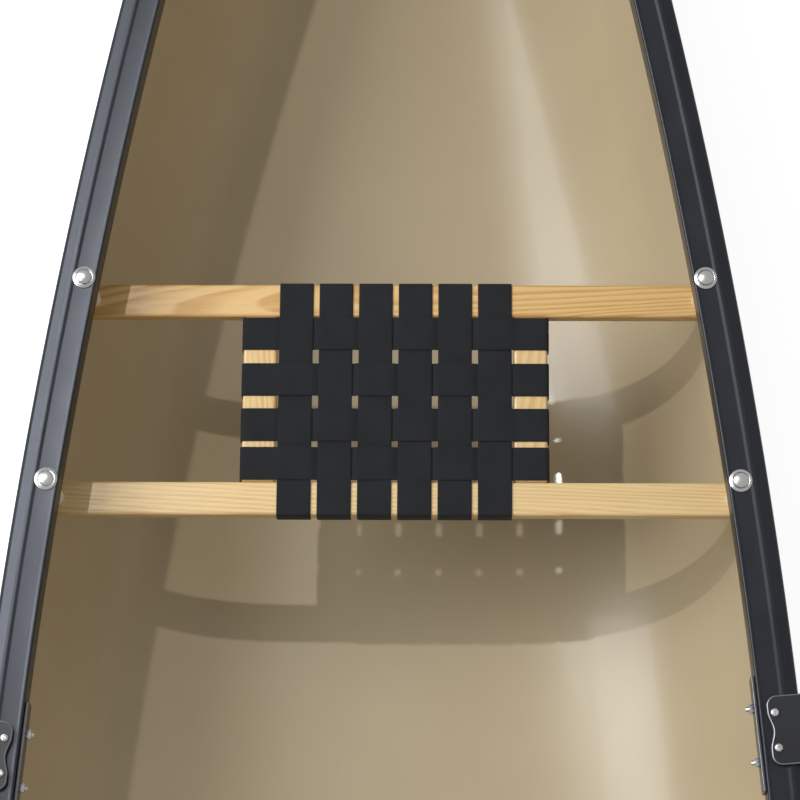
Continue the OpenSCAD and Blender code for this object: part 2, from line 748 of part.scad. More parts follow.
// Lengthwise strap k and crosswise strap r, both counted from port and from the bow; over and under alternate
function over(r, k) = (r + k) % 2 == 0;
module lengthwise_webbing(xc, drop) {
  cross_places = [for (r = [crosswise_count - 1 : -1 : 0]) crosswise_x(r)];
  color("#232428")
  for (k = [0 : lengthwise_count - 1])
    seat_frame(xc) translate([0, lengthwise_y(lengthwise_count - 1 - k) + strap_w / 2, -drop])
      rotate([90, 0, 0])
        linear_extrude(strap_w)
          polygon(ribbon(wrap_path(web_l / 2, long_rail_w, cross_places,
                                   [for (r = [crosswise_count - 1 : -1 : 0]) over(r, k)])));
}

module crosswise_webbing(xc, drop) {
  length_places = [for (k = [0 : lengthwise_count - 1]) lengthwise_y(k)];
  color("#232428")
  for (r = [0 : crosswise_count - 1])
    seat_frame(xc) translate([crosswise_x(r) - strap_w / 2, 0, -drop])
      rotate([90, 0, 90])
        linear_extrude(strap_w)
          polygon(ribbon(wrap_path(seat_web_w / 2, side_rail_w, length_places,
                                   [for (k = [lengthwise_count - 1 : -1 : 0]) !over(r, k)])));
}

// A staple with its crown along y, hanging from z = 0 with its legs upwards
staple_w = 12;
staple_wire = 1;
staple_leg = 8;
module staple() {
  translate([-staple_wire / 2, -staple_w / 2, -staple_wire]) cube([staple_wire, staple_w, staple_wire]);
  for (end = [-1, 1])
    translate([-staple_wire / 2, end * (staple_w - staple_wire) / 2 - staple_wire / 2, -staple_wire])
      cube([staple_wire, staple_wire, staple_leg]);
}
staple_z = -board_t - strap_mid - strap_t / 2;
staple_in = 18;                                  // from a rail's outer face
module staples(xc, drop) {
  color("silver")
  seat_frame(xc) translate([0, 0, staple_z - drop])
    for (end = [-1, 1], place = [-1, 1]) {
      for (k = [0 : lengthwise_count - 1])
        translate([end * (web_l / 2 - staple_in), lengthwise_y(k) + place * strap_w / 4, 0]) staple();
      for (r = [0 : crosswise_count - 1])
        translate([crosswise_x(r) + place * strap_w / 4, end * (seat_web_w / 2 - staple_in), 0])
          rotate([0, 0, 90]) staple();
    }
}

// ---- Seat fasteners
module seat_bolts(xc, drop) {
  color("silver")
  for (end = [-1, 1], side = [-1, 1]) {
    over = top_over(xc, end * seat_bolt_pitch / 2);
    seat_frame(xc) at_seat_bolt(xc, end, side)
      domed_bolt(over + drop + board_t + nut_reach, dish_h + head_gap);
  }
}

module dished_washers(xc) {
  color("silver")
  for (end = [-1, 1], side = [-1, 1]) seat_frame(xc) at_seat_bolt(xc, end, side) dished_washer();
}

spacer_gap = 0.4;
module spacers(xc, drop) {
  color("#efe6d6")
  for (end = [-1, 1], side = [-1, 1]) {
    over = top_over(xc, end * seat_bolt_pitch / 2);
    height = over + drop - gunwale_rise - gunwale_drop - face_gap - spacer_gap;
    seat_frame(xc)
      translate([end * seat_bolt_pitch / 2, side * seat_bolt_y(xc, end), face_gap - drop])
        difference() {
          cylinder(d = spacer_d, h = height, $fn = round_fn);
          translate([0, 0, -1]) cylinder(d = hole_d, h = height + 2, $fn = round_fn);
        }
  }
}

module seat_nuts(xc, drop) {
  color("silver")
  for (end = [-1, 1], side = [-1, 1])
    seat_frame(xc)
      translate([end * seat_bolt_pitch / 2, side * seat_bolt_y(xc, end), -drop - board_t - face_gap])
        nut_and_washer();
}

// ================= Rowing brackets =================
// Frame with its origin on the outer edge of the gunwale's top: x runs forward along it, y points outboard
module bracket_frame(side) {
  x = bracket_x(side);
  mirror([0, side < 0 ? 1 : 0, 0])
    translate([x, edge_breadth(along(x)) + slot_gap + lip_t, gunwale_top(x)])
      rotate([0, 0, side_angle(x)]) children();
}

screw_d = 4.8;
screw_head_d = 9.5;
screw_l = 20;
screw_in = 29;                                   // from the gunwale's outer edge to the screws
through_drop = 18;                               // of the bolts below the gunwale's top
apron_drop = gunwale_rise + gunwale_drop;
plate_margin = 8;                                // from the gunwale's inner edge to the plate's inner edge
plate_in = gunwale_w - plate_margin;
plate_lift = 0.3;                                // of the plate over the gunwale's crown
backing_gap = 0.5;
backing_h = 24;
waist_depth = 4.5;
waist_r = 24;
corner_r = 11;

module screw_at(end) {
  translate([end * screw_pitch / 2, -screw_in, 0]) children();
}
module screw_hole() {
  translate([0, 0, -screw_l - 2]) cylinder(d = screw_d + 2 * bolt_clear, h = screw_l + 20, $fn = small_fn);
}
// Both holes for the bolts that clamp a bracket through the gunwale and the hull's edge
module through_holes(side) {
  bracket_frame(side)
    for (end = [-1, 1])
      translate([end * through_pitch / 2, 15, -through_drop])
        rotate([90, 0, 0]) cylinder(d = hole_d, h = gunwale_w + 30, $fn = round_fn);
}

module plate_outline() {
  difference() {
    union() {
      translate([-bracket_l / 2, corner_r - plate_in]) square([bracket_l, plate_in - corner_r + bracket_t]);
      translate([corner_r - bracket_l / 2, -plate_in]) square([bracket_l - 2 * corner_r, corner_r + 1]);
      for (end = [-1, 1])
        translate([end * (bracket_l / 2 - corner_r), corner_r - plate_in])
          circle(r = corner_r, $fn = round_fn);
      polygon([
        [-bracket_l / 2, bracket_t],
        [bracket_l / 2, bracket_t],
        [barrel_d / 2, socket_out],
        [-barrel_d / 2, socket_out]
      ]);
      translate([0, socket_out]) circle(d = barrel_d, $fn = round_fn);
    }
    translate([0, waist_depth - plate_in - waist_r]) circle(r = waist_r, $fn = round_fn);
  }
}

bush_r = shank_d / 2 + shank_clear + bush_wall;
bush_fit = 0.05;
barrel_foot = bracket_t + plate_lift - barrel_h;
module oarlock_bracket(side) {
  color("#1f2124")
  bracket_frame(side)
    difference() {
      union() {
        translate([0, 0, plate_lift]) linear_extrude(bracket_t) plate_outline();
        translate([-bracket_l / 2, face_gap, -apron_drop])
          cube([bracket_l, bracket_t, apron_drop + plate_lift + 1]);
        translate([0, socket_out, barrel_foot]) cylinder(d = barrel_d, h = barrel_h - 1, $fn = round_fn);
      }
      translate([0, socket_out, barrel_foot - 1])
        cylinder(r = bush_r + bush_fit, h = barrel_h + 2, $fn = round_fn);
      for (end = [-1, 1]) screw_at(end) screw_hole();
      for (end = [-1, 1])
        translate([end * through_pitch / 2, bracket_t + 10, -through_drop])
          rotate([90, 0, 0]) cylinder(d = hole_d, h = bracket_t + 20, $fn = round_fn);
    }
}

module backing_plate(side) {
  color("#2a2c30")
  bracket_frame(side)
    difference() {
      translate([-backing_l / 2, -gunwale_w - backing_gap - backing_t, -through_drop - backing_h / 2])
        cube([backing_l, backing_t, backing_h]);
      for (end = [-1, 1])
        translate([end * through_pitch / 2, 1 - gunwale_w, -through_drop])
          rotate([90, 0, 0]) cylinder(d = hole_d, h = backing_t + 5, $fn = round_fn);
    }
}

module bracket_screws() {
  color("silver")
  for (side = [-1, 1], end = [-1, 1])
    bracket_frame(side) screw_at(end) {
      translate([0, 0, plate_lift + bracket_t + face_gap]) dome(screw_head_d, 3);
      translate([0, 0, -screw_l]) cylinder(d = screw_d, h = screw_l + bracket_t + 1, $fn = small_fn);
    }
}

through_l = bracket_t + gunwale_w + backing_t + nut_reach;
module bracket_bolts() {
  color("silver")
  for (side = [-1, 1], end = [-1, 1])
    bracket_frame(side)
      translate([end * through_pitch / 2, bracket_t + 2 * face_gap, -through_drop])
        rotate([-90, 0, 0]) {
          dome(12, 3.4);
          translate([0, 0, -through_l]) cylinder(d = bolt_d, h = through_l + 0.5, $fn = round_fn);
        }
}

module bracket_nuts() {
  color("silver")
  for (side = [-1, 1], end = [-1, 1])
    bracket_frame(side)
      translate([end * through_pitch / 2, -gunwale_w - backing_gap - backing_t - face_gap, -through_drop])
        rotate([-90, 0, 0])
          difference() {
            translate([0, 0, -nut_h]) cylinder(d = nut_af / cos(30), h = nut_h, $fn = 6);
            translate([0, 0, -nut_h - 1]) cylinder(d = bolt_d + 0.1, h = nut_h + 2, $fn = round_fn);
          }
}

// ---- Socket bush and oarlock, about the socket's axis with z = 0 on top of the bracket
flange_t = 2.5;
collar_d = 24;
collar_t = 5;
collar_gap = 0.3;
pin_d = 3;
pin_drop = 6;                                    // of the keeper pin below the barrel
module socket_frame(side) {
  bracket_frame(side) translate([0, socket_out, plate_lift + bracket_t]) children();
}

module socket_bush(side) {
  color("silver")
  socket_frame(side)
    difference() {
      union() {
        translate([0, 0, face_gap]) cylinder(d = bush_flange_d, h = flange_t, $fn = round_fn);
        translate([0, 0, -barrel_h]) cylinder(r = bush_r, h = barrel_h + 1, $fn = round_fn);
      }
      translate([0, 0, -barrel_h - 1])
        cylinder(d = shank_d + 2 * shank_clear, h = barrel_h + 10, $fn = round_fn);
    }
}

horn_ring_r = horn_r + horn_t / 2;
collar_foot = face_gap + flange_t + collar_gap;
horn_z = collar_foot + collar_t + horn_ring_r + horn_t / 2 - 1.5;
module oarlock(side) {
  color("#b9bcc0")
  socket_frame(side)
    difference() {
      union() {
        translate([0, 0, -barrel_h - pin_drop - 6])
          cylinder(d = shank_d, h = barrel_h + pin_drop + 6 + collar_foot + 1, $fn = round_fn);
        translate([0, 0, collar_foot]) cylinder(d = collar_d, h = collar_t, $fn = round_fn);
        translate([0, 0, horn_z])
          rotate([90, horn_gap / 2 - 90, 0])
            rotate_extrude(angle = horn_gap - 360, $fn = round_fn)
              translate([horn_ring_r, 0]) circle(d = horn_t, $fn = small_fn);
        for (end = [-1, 1])
          translate([
            end * horn_ring_r * sin(horn_gap / 2),
            0,
            horn_z + horn_ring_r * cos(horn_gap / 2)
          ])
            sphere(d = horn_t + 2, $fn = round_fn);
      }
      translate([0, 0, -barrel_h - pin_drop])
        rotate([0, 90, 0]) translate([0, 0, -20]) cylinder(d = pin_d + 0.2, h = 40, $fn = small_fn);
    }
}

// Keeper pin through the foot of the shank, with a head at one end
pin_l = 26;
module keeper_pin(side) {
  color("silver")
  socket_frame(side)
    translate([-pin_l / 2, 0, -barrel_h - pin_drop])
      rotate([0, 90, 0]) {
        cylinder(d = pin_d, h = pin_l, $fn = small_fn);
        cylinder(d = 6, h = 2, $fn = small_fn);
      }
}

hull();
gunwale(1);  // port_gunwale
gunwale(-1);  // starboard_gunwale
gunwale_insert(1);  // port_gunwale_insert
gunwale_insert(-1);  // starboard_gunwale_insert
deck(1);  // bow_deck
deck(-1);  // stern_deck
deck_screws();
carry_handle(1);  // bow_carry_handle
carry_handle(-1);  // stern_carry_handle
handle_bolts();
handle_nuts();
center_yoke();
yoke_bolts();
yoke_nuts();
long_rail(bow_seat_x, bow_seat_drop, 1);  // bow_seat_front_rail
long_rail(bow_seat_x, bow_seat_drop, -1);  // bow_seat_rear_rail
side_rail(bow_seat_x, bow_seat_drop, 1);  // bow_seat_port_side_rail
side_rail(bow_seat_x, bow_seat_drop, -1);  // bow_seat_starboard_side_rail
dowels(bow_seat_x, bow_seat_drop);  // bow_seat_dowels
lengthwise_webbing(bow_seat_x, bow_seat_drop);  // bow_seat_lengthwise_webbing
crosswise_webbing(bow_seat_x, bow_seat_drop);  // bow_seat_crosswise_webbing
staples(bow_seat_x, bow_seat_drop);  // bow_seat_staples
seat_bolts(bow_seat_x, bow_seat_drop);  // bow_seat_bolts
dished_washers(bow_seat_x);  // bow_seat_dished_washers
spacers(bow_seat_x, bow_seat_drop);  // bow_seat_spacers
seat_nuts(bow_seat_x, bow_seat_drop);  // bow_seat_nuts
long_rail(stern_seat_x, stern_seat_drop, 1);  // stern_seat_front_rail
long_rail(stern_seat_x, stern_seat_drop, -1);  // stern_seat_rear_rail
side_rail(stern_seat_x, stern_seat_drop, 1);  // stern_seat_port_side_rail
side_rail(stern_seat_x, stern_seat_drop, -1);  // stern_seat_starboard_side_rail
dowels(stern_seat_x, stern_seat_drop);  // stern_seat_dowels
lengthwise_webbing(stern_seat_x, stern_seat_drop);  // stern_seat_lengthwise_webbing
crosswise_webbing(stern_seat_x, stern_seat_drop);  // stern_seat_crosswise_webbing
staples(stern_seat_x, stern_seat_drop);  // stern_seat_staples
seat_bolts(stern_seat_x, stern_seat_drop);  // stern_seat_bolts
dished_washers(stern_seat_x);  // stern_seat_dished_washers
spacers(stern_seat_x, stern_seat_drop);  // stern_seat_spacers
seat_nuts(stern_seat_x, stern_seat_drop);  // stern_seat_nuts
oarlock_bracket(1);  // port_oarlock_bracket
oarlock_bracket(-1);  // starboard_oarlock_bracket
backing_plate(1);  // port_backing_plate
backing_plate(-1);  // starboard_backing_plate
bracket_screws();
bracket_bolts();
bracket_nuts();
socket_bush(1);  // port_socket_bush
socket_bush(-1);  // starboard_socket_bush
oarlock(1);  // port_oarlock
oarlock(-1);  // starboard_oarlock
keeper_pin(1);  // port_keeper_pin
keeper_pin(-1);  // starboard_keeper_pin
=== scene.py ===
import math

import bmesh
import bpy
import numpy as np
from mathutils import Matrix, Vector


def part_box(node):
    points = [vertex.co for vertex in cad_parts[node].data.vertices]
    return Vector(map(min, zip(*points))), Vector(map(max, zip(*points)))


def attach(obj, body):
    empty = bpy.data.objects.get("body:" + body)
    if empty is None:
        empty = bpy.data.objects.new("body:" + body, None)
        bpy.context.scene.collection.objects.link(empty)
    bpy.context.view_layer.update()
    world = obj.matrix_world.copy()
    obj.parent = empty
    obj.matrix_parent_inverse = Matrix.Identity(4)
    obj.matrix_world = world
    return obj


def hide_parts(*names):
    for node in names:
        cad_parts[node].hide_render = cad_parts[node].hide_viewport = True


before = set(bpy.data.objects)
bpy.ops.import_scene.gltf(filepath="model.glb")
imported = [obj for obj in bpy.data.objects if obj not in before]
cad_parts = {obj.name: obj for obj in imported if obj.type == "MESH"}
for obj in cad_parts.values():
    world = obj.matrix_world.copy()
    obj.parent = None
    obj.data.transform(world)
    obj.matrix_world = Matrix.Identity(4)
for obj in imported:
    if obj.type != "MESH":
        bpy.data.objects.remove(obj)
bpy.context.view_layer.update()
hullLow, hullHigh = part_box("hull")
halfLength, halfBeam, stemHeight = hullHigh.x, hullHigh.y, hullHigh.z
print("canoe: frame loaded")

# All sizes are in metres. v runs from -1 at the stern to 1 at the bow, h from 0 at the floor to 1 at the sheer.
hullValues = {
    "centreDepth": 0.345,
    "sheerPower": 3.6,
    "rocker": 0.026,
    "levelShare": 0.5,
    "flatFloor": 0.220,
    "stemFoot": 0.240,
    "bilge": 2.7,
    "wall": 0.0065,
    "stations": 170,
    "girths": 34,
}


def breadth(v):
    return halfBeam * (1 - v * v)


def sheer(v):
    low = hullValues["centreDepth"]
    return low + (stemHeight - low) * abs(v) ** hullValues["sheerPower"]


def keel(v):
    level = hullValues["levelShare"]
    return hullValues["rocker"] * (max(0, abs(v) - level) / (1 - level)) ** 2


def halfWidth(v, h):
    flat = hullValues["flatFloor"] / 2 * (1 - v * v)
    bilge = hullValues["bilge"]
    roundSide = max(0, 1 - (1 - h) ** bilge) ** (1 / bilge)
    vee = abs(v) ** 6
    return flat + (breadth(v) - flat) * ((1 - vee) * roundSide + vee * math.sqrt(h))


def setback(v, h):
    return math.copysign(abs(v) ** 6 * hullValues["stemFoot"] * (1 - math.sqrt(max(0, 1 - (1 - h) ** 2))), v)


def lean(v, drop):  # how far the side leans inboard at a drop below the sheer
    return breadth(v) - halfWidth(v, 1 - drop / (sheer(v) - keel(v)))


def slopeOf(line, x):
    reach = 0.001
    return math.atan((line((x + reach) / halfLength) - line((x - reach) / halfLength)) / (2 * reach))


def mix(a, b, t):
    return a + (b - a) * t


def moved(place):
    return Matrix.Translation(place)


def turned(angle, axis):
    return Matrix.Rotation(angle, 4, axis)


# A Shape gathers points and faces, then becomes one mesh that rides on a body of the frame.
class Shape:
    def __init__(self):
        self.points, self.faces, self.slots, self.uvs = [], [], [], {}

    def add(self, part, place=None, slot=0):
        points, faces = part
        start = len(self.points)
        self.points += [tuple(place @ Vector(p)) if place else tuple(p) for p in points]
        self.faces += [tuple(start + k for k in face) for face in faces]
        self.slots += [slot] * len(faces)
        return start

    def build(self, name, used, *stands, body="canoe", place=None, angle=35, soften=0, layers=3):
        mesh = bpy.data.meshes.new(name)
        mesh.from_pydata(self.points, [], self.faces)
        if self.uvs:
            layer = mesh.uv_layers.new(name="strap")
            for loop in mesh.loops:
                layer.data[loop.index].uv = self.uvs[loop.vertex_index]
        for key in used:
            mesh.materials.append(finishes[key])
        for polygon, index in zip(mesh.polygons, self.slots):
            polygon.material_index = index
        work = bmesh.new()
        work.from_mesh(mesh)
        bmesh.ops.remove_doubles(work, verts=work.verts, dist=1e-6)
        bmesh.ops.dissolve_degenerate(work, dist=1e-7, edges=work.edges)
        bmesh.ops.recalc_face_normals(work, faces=work.faces)
        work.to_mesh(mesh)
        work.free()
        mesh.shade_smooth()
        mesh.set_sharp_from_angle(angle=math.radians(angle))
        piece = bpy.data.objects.new(name, mesh)
        bpy.context.scene.collection.objects.link(piece)
        if place:
            piece.matrix_world = place
        if soften:
            rounding = piece.modifiers.new("rounding", "BEVEL")
            rounding.width, rounding.segments = soften, layers
            rounding.limit_method, rounding.angle_limit = "ANGLE", math.radians(40)
            # bevel faces take the last finish when it is the lighter edge metal, a painted edge highlight with some
            # wear
            rounding.material = len(used) - 1 if "rubbed" in used else -1
            level = piece.modifiers.new("level", "WEIGHTED_NORMAL")
            level.keep_sharp = True
        if body:
            settle(piece, body, used[0], *stands)
        return piece


def settle(piece, body, finish, *stands):
    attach(piece, body)
    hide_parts(*stands)


def buildPart(part, *names, **more):
    shape = Shape()
    shape.add(part)
    return shape.build(*names, **more)


def skinned(rings, capped=True, looped=True):
    count = len(rings[0])
    points = [p for ring in rings for p in ring]
    faces = []
    for i in range(len(rings) - 1):
        for k in range(count if looped else count - 1):
            a, b = i * count + k, i * count + (k + 1) % count
            faces.append((a, b, b + count, a + count))
    if capped:
        faces.append(tuple(range(count - 1, -1, -1)))
        faces.append(tuple(range(len(points) - count, len(points))))
    return points, faces


def circle(radius, height, sides):
    turns = [2 * math.pi * k / sides for k in range(sides)]
    return [(radius * math.cos(a), radius * math.sin(a), height) for a in turns]


def lathed(profile, sides=48):
    return skinned([circle(radius, height, sides) for radius, height in profile], capped=False)


def slab(outline, low, high, axis=2):  # an outline pushed along one axis, from low to high
    return skinned([[(*p[:axis], level, *p[axis:]) for p in outline] for level in (low, high)])


def filleted(corners, steps=4):  # corners are (x, y, radius); the outline is closed
    outline = []
    for k, (x, y, radius) in enumerate(corners):
        here = Vector((x, y))
        before = Vector(corners[k - 1][:2]) - here
        after = Vector(corners[(k + 1) % len(corners)][:2]) - here
        bend = before.angle(after, math.pi)
        if radius <= 0 or bend > math.pi - 0.01:
            outline += [(x, y)] * (steps + 1)
            continue
        cut = min(radius / math.tan(bend / 2), before.length * 0.45, after.length * 0.45)
        start, end = here + before.normalized() * cut, here + after.normalized() * cut
        for i in range(steps + 1):
            t = i / steps
            outline.append(tuple(start * (1 - t) ** 2 + here * 2 * t * (1 - t) + end * t * t))
    return outline


def carve(piece, part, place):  # cuts the part out of the piece's own mesh
    tool = buildPart(part, "cutter", [], body=None, place=place)
    cut = piece.modifiers.new("cut", "BOOLEAN")
    cut.object, cut.operation, cut.solver = tool, "DIFFERENCE", "EXACT"
    piece.modifiers.move(len(piece.modifiers) - 1, 0)
    graph = bpy.context.evaluated_depsgraph_get()
    held = [m for m in piece.modifiers if m.name != "cut"]
    for m in held:
        m.show_viewport = False
    graph.update()
    carved = bpy.data.meshes.new_from_object(piece.evaluated_get(graph))
    piece.modifiers.remove(cut)
    for m in held:
        m.show_viewport = True
    old = piece.data
    piece.data = carved
    carved.name = piece.name
    bpy.data.meshes.remove(old)
    bpy.data.objects.remove(tool)


# Shader helpers: makeNode adds one node, and wires or sets its inputs.
def makeNode(tree, kind, values=None, **settings):
    node = tree.nodes.new(kind)
    for key, value in settings.items():
        setattr(node, key, value)
    for key, value in (values or {}).items():
        if isinstance(value, bpy.types.NodeSocket):
            tree.links.new(value, node.inputs[key])
        else:
            node.inputs[key].default_value = value
    return node


def effectGroup(name, inputs, outputs):  # every group also reads the place on the piece, as Vector
    tree = bpy.data.node_groups.new(name, "ShaderNodeTree")
    tree.interface.new_socket("Vector", in_out="INPUT", socket_type="NodeSocketVector")
    for label, value in inputs.items():
        kind = "NodeSocketColor" if isinstance(value, tuple) else "NodeSocketFloat"
        tree.interface.new_socket(label, in_out="INPUT", socket_type=kind).default_value = value
    for label in outputs:
        kind = "NodeSocketColor" if label == "Colour" else "NodeSocketFloat"
        tree.interface.new_socket(label, in_out="OUTPUT", socket_type=kind)
    given, out = tree.nodes.new("NodeGroupInput").outputs, tree.nodes.new("NodeGroupOutput").inputs
    return tree, given, given["Vector"], out


def ramp(tree, factor, stops):
    node = makeNode(tree, "ShaderNodeValToRGB", {"Fac": factor})
    elements = node.color_ramp.elements
    while len(elements) < len(stops):
        elements.new(0.5)
    for element, (place, colour) in zip(elements, stops):
        element.position = place
        element.color = (*colour, 1) if isinstance(colour, tuple) else (colour, colour, colour, 1)
    return node.outputs["Color"]


def maths(tree, operation, a, b=0.0, clamp=False):
    node = tree.nodes.new("ShaderNodeMath")
    node.operation, node.use_clamp = operation, clamp
    for socket, value in zip(node.inputs, (a, b)):
        if isinstance(value, bpy.types.NodeSocket):
            tree.links.new(value, socket)
        else:
            socket.default_value = value
    return node.outputs[0]


def times(tree, a, b, clamp=False):
    return maths(tree, "MULTIPLY", a, b, clamp)


def plus(tree, a, b, clamp=False):
    return maths(tree, "ADD", a, b, clamp)


def minus(tree, a, b):
    return maths(tree, "SUBTRACT", a, b)


def blendColours(tree, factor, a, b):
    node = makeNode(tree, "ShaderNodeMix", data_type="RGBA")
    for socket, value in ((node.inputs[0], factor), (node.inputs[6], a), (node.inputs[7], b)):
        if isinstance(value, bpy.types.NodeSocket):
            tree.links.new(value, socket)
        elif isinstance(value, tuple):
            socket.default_value = (*value, 1)
        else:
            socket.default_value = value
    return node.outputs[2]


def stretched(tree, vector, scale):
    return makeNode(tree, "ShaderNodeMapping", {"Vector": vector, "Scale": scale}).outputs[0]


def noise(tree, vector, scale, detail, **more):
    return makeNode(tree, "ShaderNodeTexNoise", {"Vector": vector, "Scale": scale, "Detail": detail, **more}).outputs[0]


# Fine moulding texture and slow waves: what a moulded or extruded plastic face shows in its gloss.
def makeSkinGroup():
    tree, given, place, out = effectGroup(
        "mouldedSkin", {"Pebble Scale": 900.0, "Wave Scale": 6.0, "Wave Share": 0.5}, ["Height", "Mottle"])
    pebble = noise(tree, place, given["Pebble Scale"], 2.0)
    wave = noise(tree, place, given["Wave Scale"], 3.0)
    tree.links.new(plus(tree, pebble, times(tree, wave, given["Wave Share"])), out["Height"])
    tree.links.new(wave, out["Mottle"])
    return tree


# Scuffs and hairlines: thin stretched marks where the surface has been rubbed.
def makeScuffGroup():
    tree, given, place, out = effectGroup("rubbedMarks", {"Along": 6.0, "Across": 220.0, "Amount": 0.3}, ["Mask"])
    values = {"X": given["Along"], "Y": given["Across"], "Z": given["Across"]}
    scale = makeNode(tree, "ShaderNodeCombineXYZ", values).outputs[0]
    placed = makeNode(tree, "ShaderNodeVectorMath", {0: place, 1: scale}, operation="MULTIPLY").outputs[0]
    lines = noise(tree, placed, 1.0, 4.0, Roughness=0.7)
    patch = noise(tree, place, 9.0, 2.0)
    sharp = ramp(tree, lines, [(0.60, 0.0), (0.72, 1.0)])
    worn = ramp(tree, patch, [(0.45, 0.0), (0.65, 1.0)])
    tree.links.new(times(tree, times(tree, sharp, worn), given["Amount"]), out["Mask"])
    return tree


# Ash: growth rings cut by the board's face, long pores, and slow colour drift.
def makeGrainGroup():
    tree, given, place, out = effectGroup(
        "ashGrain", {"Pale": (0.8, 0.6, 0.36, 1), "Dark": (0.6, 0.36, 0.15, 1), "Figure": 1.0,
                     "Rings Per Metre": 330.0}, ["Colour", "Height", "Pores"])
    drift = noise(tree, stretched(tree, place, (2.2, 26, 26)), 1.0, 2.0)
    bend = times(tree, minus(tree, drift, 0.5), times(tree, given["Figure"], 0.02))
    apart = makeNode(tree, "ShaderNodeSeparateXYZ", {"Vector": place}).outputs
    across = plus(tree, apart["Y"], bend)
    deep = plus(tree, times(tree, apart["X"], 0.045), plus(tree, apart["Z"], 0.031))
    reach = maths(tree, "SQRT", plus(tree, times(tree, across, across), times(tree, deep, deep)))
    turn = maths(tree, "FRACT", times(tree, reach, given["Rings Per Metre"]))
    ring = ramp(tree, turn, [(0.0, 0.0), (0.35, 0.12), (0.70, 0.85), (0.90, 1.0), (1.0, 0.0)])
    pores = noise(tree, stretched(tree, place, (22, 1500, 1500)), 1.0, 3.0)
    pore = ramp(tree, pores, [(0.5, 0.0), (0.68, 1.0)])
    streak = noise(tree, stretched(tree, place, (1.6, 70, 70)), 1.0, 2.0)
    strength = ramp(tree, streak, [(0.30, 0.25), (0.62, 1.0)])
    share = times(tree, ring, times(tree, strength, given["Figure"]), clamp=True)
    base = blendColours(tree, share, given["Pale"], given["Dark"])
    fibre = blendColours(tree, times(tree, pore, plus(tree, times(tree, ring, 0.25), 0.1)), base, (0.30, 0.17, 0.07))
    tree.links.new(fibre, out["Colour"])
    tree.links.new(minus(tree, times(tree, ring, 0.25), pore), out["Height"])
    tree.links.new(pore, out["Pores"])
    return tree


# Webbing: warp yarns side by side, packed by the weft, with tight selvedges. It reads metres along and across.
weaveValues = {"yarn": 0.0013, "pick": 0.0026, "selvedge": 0.0016}


def makeWebbingGroup():
    tree, given, place, out = effectGroup("webbingWeave", {"Width": 0.0381}, ["Height", "Shade"])
    apart = makeNode(tree, "ShaderNodeSeparateXYZ", {"Vector": place}).outputs
    yarn = times(tree, apart["Y"], 1 / weaveValues["yarn"])
    odd = maths(tree, "FRACT", times(tree, maths(tree, "FLOOR", yarn), 0.5))
    pick = plus(tree, times(tree, apart["X"], 1 / weaveValues["pick"]), odd)
    along = maths(tree, "ABSOLUTE", maths(tree, "SINE", times(tree, pick, math.pi)))
    over = maths(tree, "ABSOLUTE", maths(tree, "SINE", times(tree, yarn, math.pi)))
    knit = times(tree, maths(tree, "POWER", along, 0.6), maths(tree, "POWER", over, 0.5))
    fuzz = noise(tree, place, 2400.0, 2.0)
    soil = noise(tree, place, 35.0, 4.0)
    edge = maths(tree, "ABSOLUTE", apart["Y"])
    rim = maths(tree, "GREATER_THAN", edge, minus(tree, times(tree, given["Width"], 0.5), weaveValues["selvedge"]))
    height = plus(tree, knit, times(tree, fuzz, 0.25))
    tree.links.new(minus(tree, height, times(tree, rim, 0.3)), out["Height"])
    # the colour is darkest in the valleys between yarns and picks, a painted shade, and varies with the soil noise
    shade = plus(tree, times(tree, knit, 0.55), times(tree, soil, 0.6))
    tree.links.new(shade, out["Shade"])
    return tree


# Edge wear and painted highlight: lighter where the surface turns sharply outwards, broken into chips; the light edges
# stand in for an edge highlight as well as wear.
def makeEdgeWearAndHighlightGroup():
    tree, given, place, out = effectGroup("edgeWearAndPaintedHighlight", {"Amount": 0.5}, ["Mask"])
    turn = makeNode(tree, "ShaderNodeNewGeometry").outputs["Pointiness"]
    chips = noise(tree, place, 260.0, 3.0)
    edge = ramp(tree, turn, [(0.53, 0.0), (0.62, 1.0)])
    tree.links.new(times(tree, times(tree, edge, chips), given["Amount"], clamp=True), out["Mask"])
    return tree


skinGroup, scuffGroup, grainGroup = makeSkinGroup(), makeScuffGroup(), makeGrainGroup()
webbingGroup, edgeWearAndHighlightGroup = makeWebbingGroup(), makeEdgeWearAndHighlightGroup()


def startMaterial(name, colour, rough, metal=0.0, coat=0.0, coatRough=0.1, specular=0.5, sheen=0.0):
    material = bpy.data.materials.new(name)
    material.use_nodes = True
    tree = material.node_tree
    shader = tree.nodes["Principled BSDF"]
    for label, value in (("Base Color", (*colour, 1)), ("Roughness", rough), ("Metallic", metal), ("Coat Weight", coat),
                         ("Coat Roughness", coatRough), ("Specular IOR Level", specular), ("Sheen Weight", sheen)):
        shader.inputs[label].default_value = value
    material.diffuse_color = (*colour, 1)
    here = makeNode(tree, "ShaderNodeTexCoord").outputs
    return material, tree, shader, here


def placeGroup(tree, group, values):
    return makeNode(tree, "ShaderNodeGroup", values, node_tree=group).outputs


def bumpInto(tree, shader, height, distance):
    bump = makeNode(tree, "ShaderNodeBump", {"Height": height, "Distance": distance, "Strength": 1.0})
    tree.links.new(bump.outputs[0], shader.inputs["Normal"])


